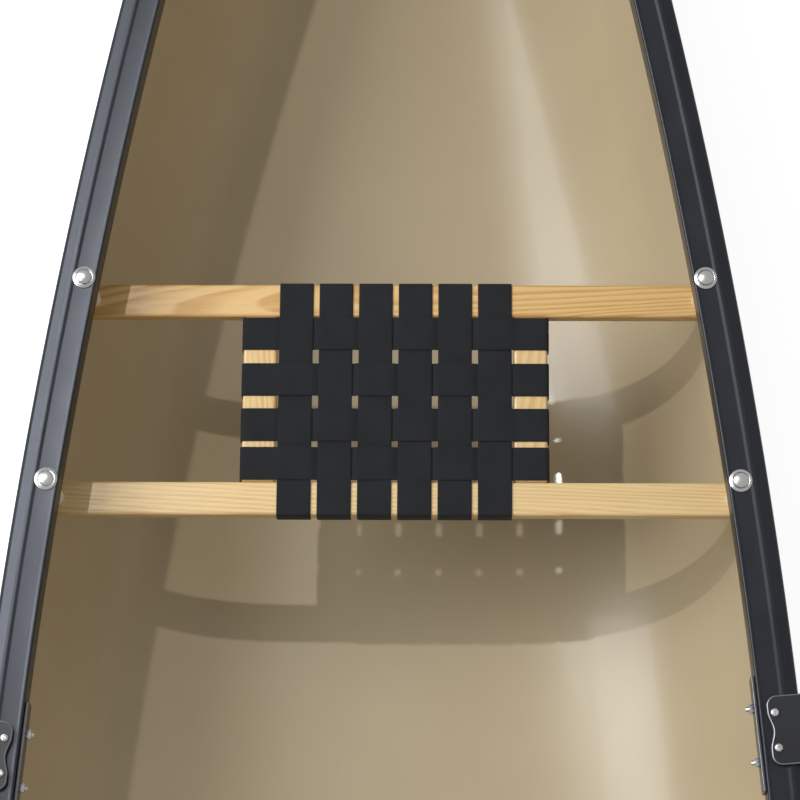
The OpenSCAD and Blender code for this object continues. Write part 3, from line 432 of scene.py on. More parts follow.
def plasticMaterial(name, colour, other, rough, pebble, wave, waveShare, bump, scuff=(6.0, 220.0, 0.3), coat=0.0,
                    pale=(0.6, 0.6, 0.6), specular=0.5, tint=(1, 1, 1)):
    material, tree, shader, here = startMaterial(name, colour, rough, coat=coat, specular=specular)
    shader.inputs["Specular Tint"].default_value = (*tint, 1)
    skin = placeGroup(tree, skinGroup, {"Vector": here["Object"], "Pebble Scale": pebble, "Wave Scale": wave,
                                        "Wave Share": waveShare})
    marks = placeGroup(tree, scuffGroup, {"Vector": here["Object"], "Along": scuff[0], "Across": scuff[1],
                                          "Amount": scuff[2]})["Mask"]
    tone = blendColours(tree, ramp(tree, skin["Mottle"], [(0.35, 0.0), (0.65, 1.0)]), colour, other)
    tree.links.new(blendColours(tree, times(tree, marks, 0.35), tone, pale), shader.inputs["Base Color"])
    gloss = plus(tree, times(tree, skin["Mottle"], 0.10), rough - 0.05)
    tree.links.new(plus(tree, gloss, times(tree, marks, 0.4), clamp=True), shader.inputs["Roughness"])
    bumpInto(tree, shader, skin["Height"], bump)
    return material


def ashMaterial(name, pale, dark, shift, figure=1.0, rough=0.32, coat=0.35, rings=330.0, turn=0.0):
    material, tree, shader, here = startMaterial(name, pale, rough, coat=coat, coatRough=0.18)
    vector = makeNode(tree, "ShaderNodeMapping", {"Vector": here["Object"], "Location": shift,
                                                  "Rotation": (0, 0, math.radians(turn))}).outputs[0]
    grain = placeGroup(tree, grainGroup, {"Vector": vector, "Pale": (*pale, 1), "Dark": (*dark, 1), "Figure": figure,
                                          "Rings Per Metre": rings})
    tree.links.new(grain["Colour"], shader.inputs["Base Color"])
    tree.links.new(plus(tree, times(tree, grain["Pores"], 0.2), rough), shader.inputs["Roughness"])
    bumpInto(tree, shader, grain["Height"], 0.00006)
    return material


def metalMaterial(name, colour, rough, scratch=(40.0, 900.0, 0.5), patch=14.0, metal=1.0):
    material, tree, shader, here = startMaterial(name, colour, rough, metal=metal)
    marks = placeGroup(tree, scuffGroup, {"Vector": here["Object"], "Along": scratch[0], "Across": scratch[1],
                                          "Amount": scratch[2]})["Mask"]
    cloud = noise(tree, here["Object"], patch, 3.0)
    darker = tuple(c * 0.82 for c in colour)
    tree.links.new(blendColours(tree, ramp(tree, cloud, [(0.3, 0.0), (0.7, 1.0)]), darker, colour),
                   shader.inputs["Base Color"])
    gloss = plus(tree, times(tree, marks, 0.25), plus(tree, times(tree, cloud, 0.1), rough - 0.05))
    tree.links.new(gloss, shader.inputs["Roughness"])
    bumpInto(tree, shader, marks, 0.00002)
    return material


def coatedMaterial(name, colour, rough, edgeWearAndHighlight):
    material, tree, shader, here = startMaterial(name, colour, rough)
    skin = placeGroup(tree, skinGroup, {"Vector": here["Object"], "Pebble Scale": 1400.0, "Wave Scale": 40.0,
                                        "Wave Share": 0.4})
    # worn marks the sharp outward edges, where a light grey is blended in: a painted edge highlight, with some wear
    worn = placeGroup(tree, edgeWearAndHighlightGroup, {"Vector": here["Object"], "Amount": edgeWearAndHighlight})["Mask"]
    tone = blendColours(tree, skin["Mottle"], colour, tuple(c * 1.6 for c in colour))
    tree.links.new(blendColours(tree, worn, tone, (0.32, 0.33, 0.35)), shader.inputs["Base Color"])
    tree.links.new(plus(tree, times(tree, skin["Mottle"], 0.12), rough - 0.06), shader.inputs["Roughness"])
    bumpInto(tree, shader, skin["Height"], 0.00005)
    return material


def webbingMaterial():
    material, tree, shader, here = startMaterial("blackWebbing", (0.012, 0.0125, 0.015), 0.75, specular=0.2, sheen=0.04)
    weave = placeGroup(tree, webbingGroup, {"Vector": here["UV"], "Width": 0.0381})
    # the valleys of the weave are painted darker as shade
    tree.links.new(blendColours(tree, weave["Shade"], (0.0020, 0.0022, 0.0028), (0.021, 0.022, 0.025)),
                   shader.inputs["Base Color"])
    tree.links.new(plus(tree, times(tree, weave["Shade"], 0.2), 0.55), shader.inputs["Roughness"])
    bumpInto(tree, shader, weave["Height"], 0.00035)
    return material


finishes = {
    "tan": plasticMaterial("tanHull", (0.50, 0.405, 0.255), (0.47, 0.378, 0.235), 0.33, 700.0, 5.0, 3.0, 0.00009,
                           (3.0, 160.0, 0.25), coat=0.15),
    "green": plasticMaterial("greenHull", (0.008, 0.066, 0.036), (0.006, 0.054, 0.029), 0.34, 600.0, 4.0, 3.0,
                             0.00008, (4.0, 130.0, 0.6), coat=0.1, pale=(0.20, 0.30, 0.25), specular=0.35),
    # the vinyl's specular tint is slightly blue: a painted bluish colour in its reflections
    "vinyl": plasticMaterial("blackVinyl", (0.0060, 0.0068, 0.0092), (0.0085, 0.0095, 0.0125), 0.34, 1500.0, 18.0,
                             0.6, 0.00005, (5.0, 700.0, 0.5), pale=(0.08, 0.08, 0.09), specular=0.62,
                             tint=(0.86, 0.90, 1.0)),
    "deck": plasticMaterial("deckMoulding", (0.012, 0.0125, 0.014), (0.016, 0.017, 0.019), 0.46, 620.0, 12.0, 0.5,
                            0.0002, (14.0, 300.0, 0.4), pale=(0.12, 0.12, 0.12)),
    "nylon": plasticMaterial("creamNylon", (0.78, 0.74, 0.64), (0.72, 0.68, 0.58), 0.42, 1200.0, 60.0, 0.5, 0.00004,
                             (60.0, 900.0, 0.3)),
    "steel": metalMaterial("stainless", (0.86, 0.86, 0.85), 0.27),
    "wire": metalMaterial("stapleWire", (0.62, 0.62, 0.62), 0.32),
    "aluminium": metalMaterial("millAluminium", (0.74, 0.75, 0.76), 0.34, (8.0, 900.0, 0.7)),
    "bush": metalMaterial("turnedBush", (0.82, 0.82, 0.81), 0.14),
    "zinc": metalMaterial("galvanised", (0.60, 0.61, 0.62), 0.38, (90.0, 500.0, 0.4), 90.0),
    "screw": metalMaterial("blackOxide", (0.10, 0.10, 0.11), 0.36),
    "coated": coatedMaterial("blackCoating", (0.011, 0.0115, 0.013), 0.40, 0.5),
    "flatBar": coatedMaterial("darkFlatBar", (0.030, 0.031, 0.034), 0.36, 0.8),
    # a lighter metal for bevel faces: a painted edge highlight, with some wear
    "rubbed": metalMaterial("rubbedEdge", (0.30, 0.30, 0.32), 0.40, (120.0, 700.0, 0.6), 120.0, 0.7),
    "screwSteel": metalMaterial("brushedScrewSteel", (0.80, 0.80, 0.80), 0.36, (200.0, 900.0, 0.5), 60.0),
    "webbing": webbingMaterial(),
    "dowel": ashMaterial("dowelWood", (0.62, 0.46, 0.28), (0.45, 0.29, 0.15), (0.0, 0.2, 0.1), 0.6, 0.5, 0.0),
}
print("canoe: finishes mixed")


# The hull is one thin moulded skin, tan inside and green outside.
def shellPoint(v, h, side, inside):
    wall = hullValues["wall"]
    shrink = 1 - wall / (2 * halfBeam) if inside else 1
    low = keel(v) + (wall if inside else 0)
    top = sheer(v * shrink)
    narrow = 1 - wall / halfBeam if inside else 1
    return ((halfLength * v - setback(v, h)) * shrink, side * halfWidth(v, h) * narrow, low + (top - low) * h)


def makeHull():
    stations, girths = hullValues["stations"], hullValues["girths"]
    # stations crowd towards the stems, where the shape changes fastest
    runs = [math.sin(math.pi / 2 * (-1 + 2 * i / stations)) * 0.35 + (-1 + 2 * i / stations) * 0.65
            for i in range(stations + 1)]
    heights = [1 - math.cos(math.pi / 2 * j / girths) ** (2 / hullValues["bilge"]) for j in range(girths + 1)]
    shape = Shape()
    loops = []
    for inside in (False, True):
        rings = []
        for v in runs:
            ring = [shellPoint(v, h, -1, inside) for h in reversed(heights)]
            ring += [shellPoint(v, h, 1, inside) for h in heights]
            rings.append(ring)
        points, faces = skinned(rings, capped=False, looped=False)
        start = shape.add((points, faces), slot=1 if inside else 0)
        loops.append((start, len(rings[0])))
    count = loops[0][1]
    for i in range(len(runs) - 1):  # the shell's cut edge along both sheers
        for k in (0, count - 1):
            a, b = loops[0][0] + i * count + k, loops[1][0] + i * count + k
            shape.faces.append((a, b, b + count, a + count))
            shape.slots.append(0)
    shape.build("hullShell", ["green", "tan"], "hull", angle=50)


makeHull()
print("canoe: hull moulded")

# The gunwales are extruded vinyl channels over the shell's edge, with an aluminium strip inside.
gunwaleValues = {
    "rise": 0.008,
    "drop": 0.024,
    "end": 2.149,
    "ridge": 0.0100,
    "bead": 0.0350,
    "dip": 0.0006,
    "steps": 420,
}


def railPoint(x, offset, over, side):
    v = x / halfLength
    inward = lean(v, -over) if over < 0 else 0
    return (x, side * (breadth(v) - offset - inward), sheer(v) + over)


def gunwaleOutline():
    ridge, bead, dip = gunwaleValues["ridge"], gunwaleValues["bead"], gunwaleValues["dip"]
    # (inboard offset, height over the sheer, corner radius) round the section, from the outer lip's foot
    return filleted([
        (-0.0065, -0.0240, 0.0008), (-0.0075, -0.0215, 0.0015), (-0.0075, -0.0015, 0.0030), (-0.0062, 0.0032, 0.0030),
        (-0.0026, 0.0056, 0.0040), (0.0040, 0.0070, 0.0070), (ridge - 0.0030, 0.0080, 0.0030),
        (ridge + 0.0005, 0.0080, 0.0020), (ridge + 0.0040, 0.0080 - dip, 0.0040), (bead - 0.0025, 0.0080 - dip, 0.0020),
        (bead - 0.0008, 0.0079, 0.0012), (bead + 0.0010, 0.0079, 0.0012), (0.0374, 0.0068, 0.0015),
        (0.0375, 0.0030, 0.0040), (0.0375, -0.0232, 0.0010), (0.0366, -0.0240, 0.0005), (0.0290, -0.0240, 0.0005),
        (0.0290, -0.0210, 0.0005), (0.0345, -0.0210, 0.0004), (0.0345, 0.0040, 0.0010), (0.0100, 0.0040, 0.0010),
        (0.0100, -0.0210, 0.0004), (0.0180, -0.0210, 0.0005), (0.0180, -0.0240, 0.0005), (0.0070, -0.0240, 0.0008),
        (0.0070, 0.0005, 0.0010), (-0.0005, 0.0005, 0.0004), (-0.0005, -0.0240, 0.0004)], 3)


def makeGunwales():
    outline = gunwaleOutline()
    end, steps = gunwaleValues["end"], gunwaleValues["steps"]
    for side, word in ((1, "port"), (-1, "starboard")):
        rings = [[railPoint(mix(-end, end, i / steps), p[0], p[1], side) for p in outline] for i in range(steps + 1)]
        buildPart(skinned(rings), word + "GunwaleExtrusion", ["vinyl"], word + "_gunwale", angle=50)
        strip = filleted([(0.0105, -0.0205, 0.0003), (0.0105, 0.0035, 0.0012), (0.0340, 0.0035, 0.0012),
                          (0.0340, -0.0205, 0.0003), (0.0320, -0.0205, 0.0003), (0.0320, 0.0015, 0.0006),
                          (0.0125, 0.0015, 0.0006), (0.0125, -0.0205, 0.0003)], 2)
        rings = [[railPoint(mix(-end + 0.002, end - 0.002, i / 160), p[0], p[1], side) for p in strip]
                 for i in range(161)]
        buildPart(skinned(rings), word + "StiffeningStrip", ["aluminium"], word + "_gunwale_insert", angle=50)


makeGunwales()
print("canoe: gunwales extruded")

# Each deck is a crowned moulding with a lip over the hull, a painter hole and four screws.
deckValues = {
    "start": 2.150,
    "lip": 0.007,
    "gap": 0.0005,
    "thick": 0.006,
    "crown": 0.012,
    "painterHole": 0.008,
    "painterX": 2.320,
    "screwX": [2.195, 2.300],
    "screwDrop": 0.012,
    "screwHead": 0.009,
    "screwDome": 0.0022,
}


def deckHalf(v):
    inner = breadth(v) + deckValues["gap"]
    out = inner + deckValues["lip"]
    crown = deckValues["crown"] * out / (out + 0.040)
    shoulder = min(0.005, out * 0.35)
    rise, thick = gunwaleValues["rise"], deckValues["thick"]
    top = [(out - 0.001, -0.024), (out, -0.022), (out, -0.001), (out - 0.0015, 0.003), (out - shoulder, rise - 0.0024)]
    for i in range(1, 13):
        t = i / 12
        bulge = 1 - (1 - t) ** 2.0
        top.append(((out - shoulder) * (1 - t), mix(rise - 0.0024, rise + crown, bulge)))
    under = [(0, rise + crown - thick), (inner * 0.5, rise + crown * 0.7 - thick), (inner, deckValues["gap"]),
             (inner, -0.024)]
    return top, under


def makeDeck(end, word):
    rings = []
    count = 56
    for i in range(count + 1):
        x = mix(deckValues["start"], halfLength, 1 - (1 - i / count) ** 1.5)
        v = x / halfLength
        top, under = deckHalf(v)

        def placed(p, side):
            inward = lean(v, -p[1]) if p[1] < 0 and v < 0.9999 else 0
            return (end * x, side * (p[0] - inward), sheer(v) + p[1])

        ring = [placed(p, 1) for p in top] + [placed(p, -1) for p in reversed(top[:-1])]
        ring += [placed(p, -1) for p in reversed(under)] + [placed(p, 1) for p in under[1:]]
        rings.append(ring)
    deck = buildPart(skinned(rings), word + "DeckMoulding", ["deck"], word + "_deck", angle=45)
    hole = lathed([(0.00005, -0.1), (deckValues["painterHole"], -0.1), (deckValues["painterHole"], 0.1),
                   (0.00005, 0.1)], 48)
    carve(deck, hole, moved((end * deckValues["painterX"], 0, sheer(1))))


for end, word in ((1, "bow"), (-1, "stern")):
    makeDeck(end, word)


def panHead(width, dome, shank):  # the head's domed top, then its underside as far as the shank
    profile = [(0.2, 0.99), (0.45, 0.96), (0.70, 0.86), (0.87, 0.66), (0.97, 0.34), (1.0, 0.0)]
    return skinned([circle(width / 2 * share, dome * high, 96) for share, high in profile]
                   + [circle(shank / 2, 0, 96)])


def crossRecess(width, depth):
    arm, thick = width * 0.31, width * 0.085
    outline = [(arm, thick), (thick, thick), (thick, arm), (-thick, arm), (-thick, thick), (-arm, thick),
               (-arm, -thick), (-thick, -thick), (-thick, -arm), (thick, -arm), (thick, -thick), (arm, -thick)]
    rings = [[(x * 1.05, y * 1.05, 0.004) for x, y in outline], [(x * 0.45, y * 0.7, -depth) for x, y in outline]]
    return skinned(rings)


def lipFrame(x, side):
    v = x / halfLength
    drop = deckValues["screwDrop"]
    y = breadth(v) + deckValues["gap"] + deckValues["lip"] - lean(abs(v), drop)
    turn = turned(side * slopeOf(breadth, x), "Z") @ turned(math.radians(-90 * side), "X")
    return moved((x, side * y, sheer(v) - drop)) @ turn


shape = Shape()
for end in (1, -1):
    for side in (1, -1):
        for x in deckValues["screwX"]:
            place = lipFrame(end * x, side)
            shape.add(panHead(deckValues["screwHead"], deckValues["screwDome"], 0.004), place)
            shape.add(lathed([(0.00005, 0.0004), (0.002, 0.0004), (0.002, -0.0135), (0.00005, -0.0135)], 24), place)
screws = shape.build("deckScrewSet", ["screw"], "deck_screws")
for end in (1, -1):
    for side in (1, -1):
        for x in deckValues["screwX"]:
            place = lipFrame(end * x, side) @ moved((0, 0, deckValues["screwDome"]))
            carve(screws, crossRecess(deckValues["screwHead"], 0.0012), place)
print("canoe: decks fitted")

# Domed bolts, dished washers, spacers and nuts, each about its own axis.
boltValues = {
    "shank": 0.006,
    "head": 0.017,
    "headHigh": 0.0036,
    "length": 0.0605,
    "nutFlats": 0.010,
    "nutHigh": 0.005,
    "washer": 0.014,
    "washerThick": 0.0015,
    "threadPitch": 0.00125,
    "threadRun": 0.016,
}


def domeHead(width, high):
    steps = 14
    profile = [(0.00005, high)]
    for k in range(1, steps + 1):
        a = math.pi / 2 * k / steps
        profile.append((width / 2 * math.sin(a), high * (0.16 + 0.84 * math.cos(a) ** 1.15)))
    profile += [(width / 2, 0.0003), (width / 2 - 0.0003, 0), (0.00005, 0)]
    return profile


def shankProfile(width, top, foot, threadRun):
    radius, pitch = width / 2, boltValues["threadPitch"]
    profile = [(0.00005, top), (radius, top), (radius, foot + threadRun)]
    z = foot + threadRun
    while z - pitch > foot + 0.0006:
        profile += [(radius * 0.87, z - pitch * 0.5), (radius, z - pitch)]
        z -= pitch
    return profile + [(radius * 0.8, foot), (0.00005, foot)]


def addBolt(shape, place, head, headHigh, length, seat=0.0):
    shape.add(lathed([(r, z + seat) for r, z in domeHead(head, headHigh)], 56), place)
    shank = shankProfile(boltValues["shank"], seat + 0.0005, seat - length, boltValues["threadRun"])
    shape.add(lathed(shank, 28), place)


def hexNut(flats, low, high, bore):
    radius = flats / 2 / math.cos(math.pi / 6)
    sides, chamfer = 72, 0.0007

    def hexReach(a):
        return flats / 2 / math.cos((a + math.pi / 6) % (math.pi / 3) - math.pi / 6)

    rings = []
    for z, limit in ((low, flats / 2 * 1.01), (low + chamfer, radius), (high - chamfer, radius),
                     (high, flats / 2 * 1.01)):
        ring = []
        for k in range(sides):
            a = 2 * math.pi * k / sides
            reach = min(hexReach(a), limit)
            ring.append((reach * math.cos(a), reach * math.sin(a), z))
        rings.append(ring)
    inner = [(bore + 0.0006, high), (bore, high - 0.0006), (bore, low + 0.0006), (bore + 0.0006, low)]
    rings += [circle(r, z, sides) for r, z in inner]
    rings.append(rings[0])
    return skinned(rings, capped=False)


def addNut(shape, place):  # hangs below z = 0: a plain washer, then the nut
    thick = boltValues["washerThick"]
    bore = boltValues["shank"] / 2 + 0.00005
    outer = boltValues["washer"] / 2
    shape.add(lathed([(bore + 0.0003, 0), (outer - 0.0002, 0), (outer, -0.0002), (outer, -thick + 0.0002),
                      (outer - 0.0002, -thick), (bore + 0.0003, -thick), (bore + 0.0003, 0)], 48), place)
    shape.add(hexNut(boltValues["nutFlats"], -thick - boltValues["nutHigh"], -thick, bore), place)


def boltY(x):
    return breadth(x / halfLength) - 0.0235


def gunwaleTop(x):
    return sheer(x / halfLength) + gunwaleValues["rise"]


# Boards are ash, with softened edges and the grain along their own length.
boardValues = {
    "thick": 0.019,
    "edge": 0.0030,
    "faceGap": 0.0002,
}


finishes.update({
    "front": ashMaterial("ashFrontRail", (0.715, 0.465, 0.185), (0.58, 0.315, 0.090), (0.31, 0.012, 0.0), 1.5,
                         rings=230.0, turn=-6.0),
    "rear": ashMaterial("ashRearRail", (0.770, 0.555, 0.270), (0.64, 0.405, 0.160), (1.73, 0.12, 0.02), 0.9,
                        rings=290.0),
    "port": ashMaterial("ashPortRail", (0.725, 0.510, 0.225), (0.61, 0.355, 0.120), (2.4, -0.09, 0.01), 1.0),
    "starboard": ashMaterial("ashStarboardRail", (0.720, 0.510, 0.230), (0.61, 0.355, 0.125), (4.1, 0.07, 0.0), 1.0),
    "oiled": ashMaterial("ashOiled", (0.700, 0.470, 0.215), (0.48, 0.250, 0.085), (5.3, 0.018, 0.01), 1.1, 0.38, 0.15),
})


def alongY(place):  # a board's own X axis runs athwart the canoe
    return place @ turned(math.radians(90), "Z")


handleValues = {
    "x": 2.068,
    "endWidth": 0.042,
    "gripWidth": 0.030,
    "softEdge": 0.0055,
}


def handleFrame(end):
    x = handleValues["x"]
    tilt = slopeOf(sheer, x)
    drop = (gunwaleValues["rise"] + gunwaleValues["drop"]) * math.cos(tilt) + boardValues["faceGap"]
    return (moved((end * x, 0, gunwaleTop(x))) @ turned(-end * tilt, "Y")
            @ moved((0, 0, -drop)))


def makeHandle(end, word):
    node = word + "_carry_handle"
    skew = math.tan(slopeOf(breadth, handleValues["x"]))
    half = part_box(node)[1].y - abs(handleValues["endWidth"] / 2 * skew)
    ringCount = 48
    outline = []
    for edge in (1, -1):
        steps = range(-ringCount, ringCount + 1) if edge > 0 else range(ringCount, -ringCount - 1, -1)
        for i in steps:
            t = i / ringCount
            wide = (handleValues["gripWidth"] / 2 + (handleValues["endWidth"] - handleValues["gripWidth"]) / 2
                    * (1 - math.cos(math.pi * min(1, abs(t) * 1.15))) / 2)
            y = t * (half + edge * wide * skew)
            outline.append((y, -end * edge * wide))
    if end < 0:
        outline.reverse()
    # the board's own frame has X across the canoe, so the outline above is written as (y, -x)
    buildPart(slab(outline, -boardValues["thick"], 0), word + "CarryHandle", ["oiled"], node,
              place=alongY(handleFrame(end)), soften=handleValues["softEdge"], layers=4)


bolts, nuts = Shape(), Shape()
for end, word in ((1, "bow"), (-1, "stern")):
    makeHandle(end, word)
    for side in (1, -1):
        x = handleValues["x"]
        tilt = slopeOf(sheer, x)
        top = moved((end * x, side * boltY(x), gunwaleTop(x))) @ turned(-end * tilt, "Y")
        addBolt(bolts, top, boltValues["head"], boltValues["headHigh"], boltValues["length"],
                boardValues["faceGap"])
        under = -boardValues["thick"] - boardValues["faceGap"]
        addNut(nuts, handleFrame(end) @ moved((0, side * boltY(x), under)))
bolts.build("handleBoltSet", ["steel"], "handle_bolts")
nuts.build("handleNutSet", ["steel"], "handle_nuts")
print("canoe: carry handles shaped")

# The yoke sits on the shoulders, with a round hollow for the neck.
yokeValues = {
    "endWidth": 0.076,
    "midWidth": 0.096,
    "waistWidth": 0.058,
    "shoulder": 0.150,
    "neckRadius": 0.092,
    "neckCentre": -0.110,
    "boltPitch": 0.042,
    "softEdge": 0.0060,
}


def makeYoke():
    half = boltY(0) + 0.011
    top = sheer(0) - gunwaleValues["drop"] - boardValues["faceGap"]
    endHalf, mid, waist = yokeValues["endWidth"] / 2, yokeValues["midWidth"] - yokeValues["endWidth"] / 2, \
        yokeValues["waistWidth"] / 2

    def fore(y):
        return endHalf - 0.005 * (1 - math.cos(2 * math.pi * min(1, y / half))) / 2

    def aft(y):
        shoulder, bend = yokeValues["shoulder"], half * 0.66
        if y < shoulder:
            edge = mid
        elif y < bend:
            edge = mix(mid, waist, (1 - math.cos(math.pi * (y - shoulder) / (bend - shoulder))) / 2)
        else:
            edge = mix(waist, endHalf, (1 - math.cos(math.pi * (y / half - 0.66) / 0.34)) / 2)
        reach = yokeValues["neckRadius"] ** 2 - y * y
        if reach > 0:  # the neck's hollow is cut out of this edge
            edge = min(edge, -(yokeValues["neckCentre"] + math.sqrt(reach)))
        return edge

    count = 90
    outline = [(half * i / count, -fore(abs(i) / count * half)) for i in range(-count, count + 1)]
    outline += [(half * i / count, aft(abs(i) / count * half)) for i in range(count, -count - 1, -1)]
    buildPart(slab(outline, -boardValues["thick"], 0), "portageYoke", ["oiled"], "center_yoke",
              place=alongY(moved((0, 0, top))), soften=yokeValues["softEdge"], layers=4)
    bolts, nuts = Shape(), Shape()
    for end in (1, -1):
        for side in (1, -1):
            x = end * yokeValues["boltPitch"] / 2
            addBolt(bolts, moved((x, side * boltY(x), gunwaleTop(x))), boltValues["head"], boltValues["headHigh"],
                    boltValues["length"], boardValues["faceGap"])
            addNut(nuts, moved((x, side * boltY(x), top - boardValues["thick"] - boardValues["faceGap"])))
    bolts.build("yokeBoltSet", ["steel"], "yoke_bolts")
    nuts.build("yokeNutSet", ["steel"], "yoke_nuts")


makeYoke()
print("canoe: yoke shaped")

# A seat is four ash rails, a woven web of straps wrapped round them, and its hangers.
seatValues = {
    "places": {"bow": (0.956, 0.084), "stern": (-1.410, 0.072)},
    "longRailX": 0.1155,
    "railWidth": 0.038,
    "sideRailY": 0.1525,
    "sideRailHalf": 0.0963,
    "webHalfX": 0.1345,
    "webHalfY": 0.1715,
    "strapWidth": 0.0381,
    "strapThick": 0.0016,
    "strapMid": 0.0010,
    "strapRise": 0.00095,
    "strapPitch": 0.0449,
    "crossPlaces": [0.07575, 0.02185, -0.03085, -0.07575],
    "tail": 0.030,
    "softness": 0.0024,
    "pathStep": 0.0011,
    "spacer": 0.020,
    "spacerBore": 0.0066,
    "boltBelow": 0.0285,
    "boltSeat": 0.00225,
    "stapleX": 0.1165,
    "stapleY": 0.1535,
    "stapleZ": -0.0208,
}


def seatFrame(xc):
    return moved((xc, 0, gunwaleTop(xc))) @ turned(-slopeOf(sheer, xc), "Y")


def wrapPath(half, places, high):
    mid, thick, width = seatValues["strapMid"], boardValues["thick"], seatValues["strapWidth"]
    tail = min(seatValues["tail"], seatValues["railWidth"] - 0.004)
    points = [(-half + tail, -thick - mid), (-half - mid, -thick - mid), (-half - mid, mid),
              (-half + seatValues["railWidth"] + 0.0004, mid)]
    for place, isHigh in zip(places, high):
        for e in (-1, 1):
            points.append((place + e * (width / 2 + 0.0006), mid + (1 if isHigh else -1) * seatValues["strapRise"]))
    points += [(half - seatValues["railWidth"] - 0.0004, mid), (half + mid, mid), (half + mid, -thick - mid),
               (half - tail, -thick - mid)]
    return points


def smoothPath(points):
    # Walk the path in even steps, then blur it so the strap rounds its corners as cloth does.
    step, softness = seatValues["pathStep"], seatValues["softness"]
    runs, lengths = [], [0.0]
    for a, b in zip(points, points[1:]):
        lengths.append(lengths[-1] + math.dist(a, b))
    count = int(lengths[-1] / step)
    for i in range(count + 1):
        s = lengths[-1] * i / count
        k = max(j for j in range(len(lengths) - 1) if lengths[j] <= s + 1e-9)
        t = (s - lengths[k]) / (lengths[k + 1] - lengths[k])
        runs.append((mix(points[k][0], points[k + 1][0], t), mix(points[k][1], points[k + 1][1], t)))
    line = np.array(runs)
    reach = int(3 * softness / step) + 1
    weights = np.exp(-0.5 * (np.arange(-reach, reach + 1) * step / softness) ** 2)
    weights /= weights.sum()
    padded = np.vstack([np.repeat(line[:1], reach, 0), line, np.repeat(line[-1:], reach, 0)])
    padded[:reach] = line[0] + (line[0] - line[1]) * np.arange(reach, 0, -1)[:, None]
    padded[-reach:] = line[-1] + (line[-1] - line[-2]) * np.arange(1, reach + 1)[:, None]
    return np.stack([np.convolve(padded[:, k], weights, mode="valid") for k in range(2)], 1)


def addStrap(shape, points, place, seed):
    line = smoothPath(points)
    width, thick = seatValues["strapWidth"], seatValues["strapThick"]
    # the strap's section: flat faces, full rounded selvedges a little thinner than the middle
    across = filleted([(-width / 2, -thick * 0.42, thick * 0.42), (-width / 2 + 0.0022, -thick / 2, 0.002),
                       (width / 2 - 0.0022, -thick / 2, 0.002), (width / 2, -thick * 0.42, thick * 0.42),
                       (width / 2, thick * 0.42, thick * 0.42), (width / 2 - 0.0022, thick / 2, 0.002),
                       (-width / 2 + 0.0022, thick / 2, 0.002), (-width / 2, thick * 0.42, thick * 0.42)], 2)
    rings, start, gone = [], len(shape.points), 0.0
    for i, (s, z) in enumerate(line):
        a, b = line[max(0, i - 1)], line[min(len(line) - 1, i + 1)]
        run = np.array(b) - np.array(a)
        run /= np.linalg.norm(run)
        normal = np.array((-run[1], run[0]))
        if i:
            gone += float(np.linalg.norm(line[i] - line[i - 1]))
        ring = []
        for w, t in across:
            ring.append((s + normal[0] * t, w, z + normal[1] * t))
            shape.uvs[start + len(rings) * len(across) + len(ring) - 1] = (gone + seed, w)
        rings.append(ring)
    shape.add(skinned(rings), place)


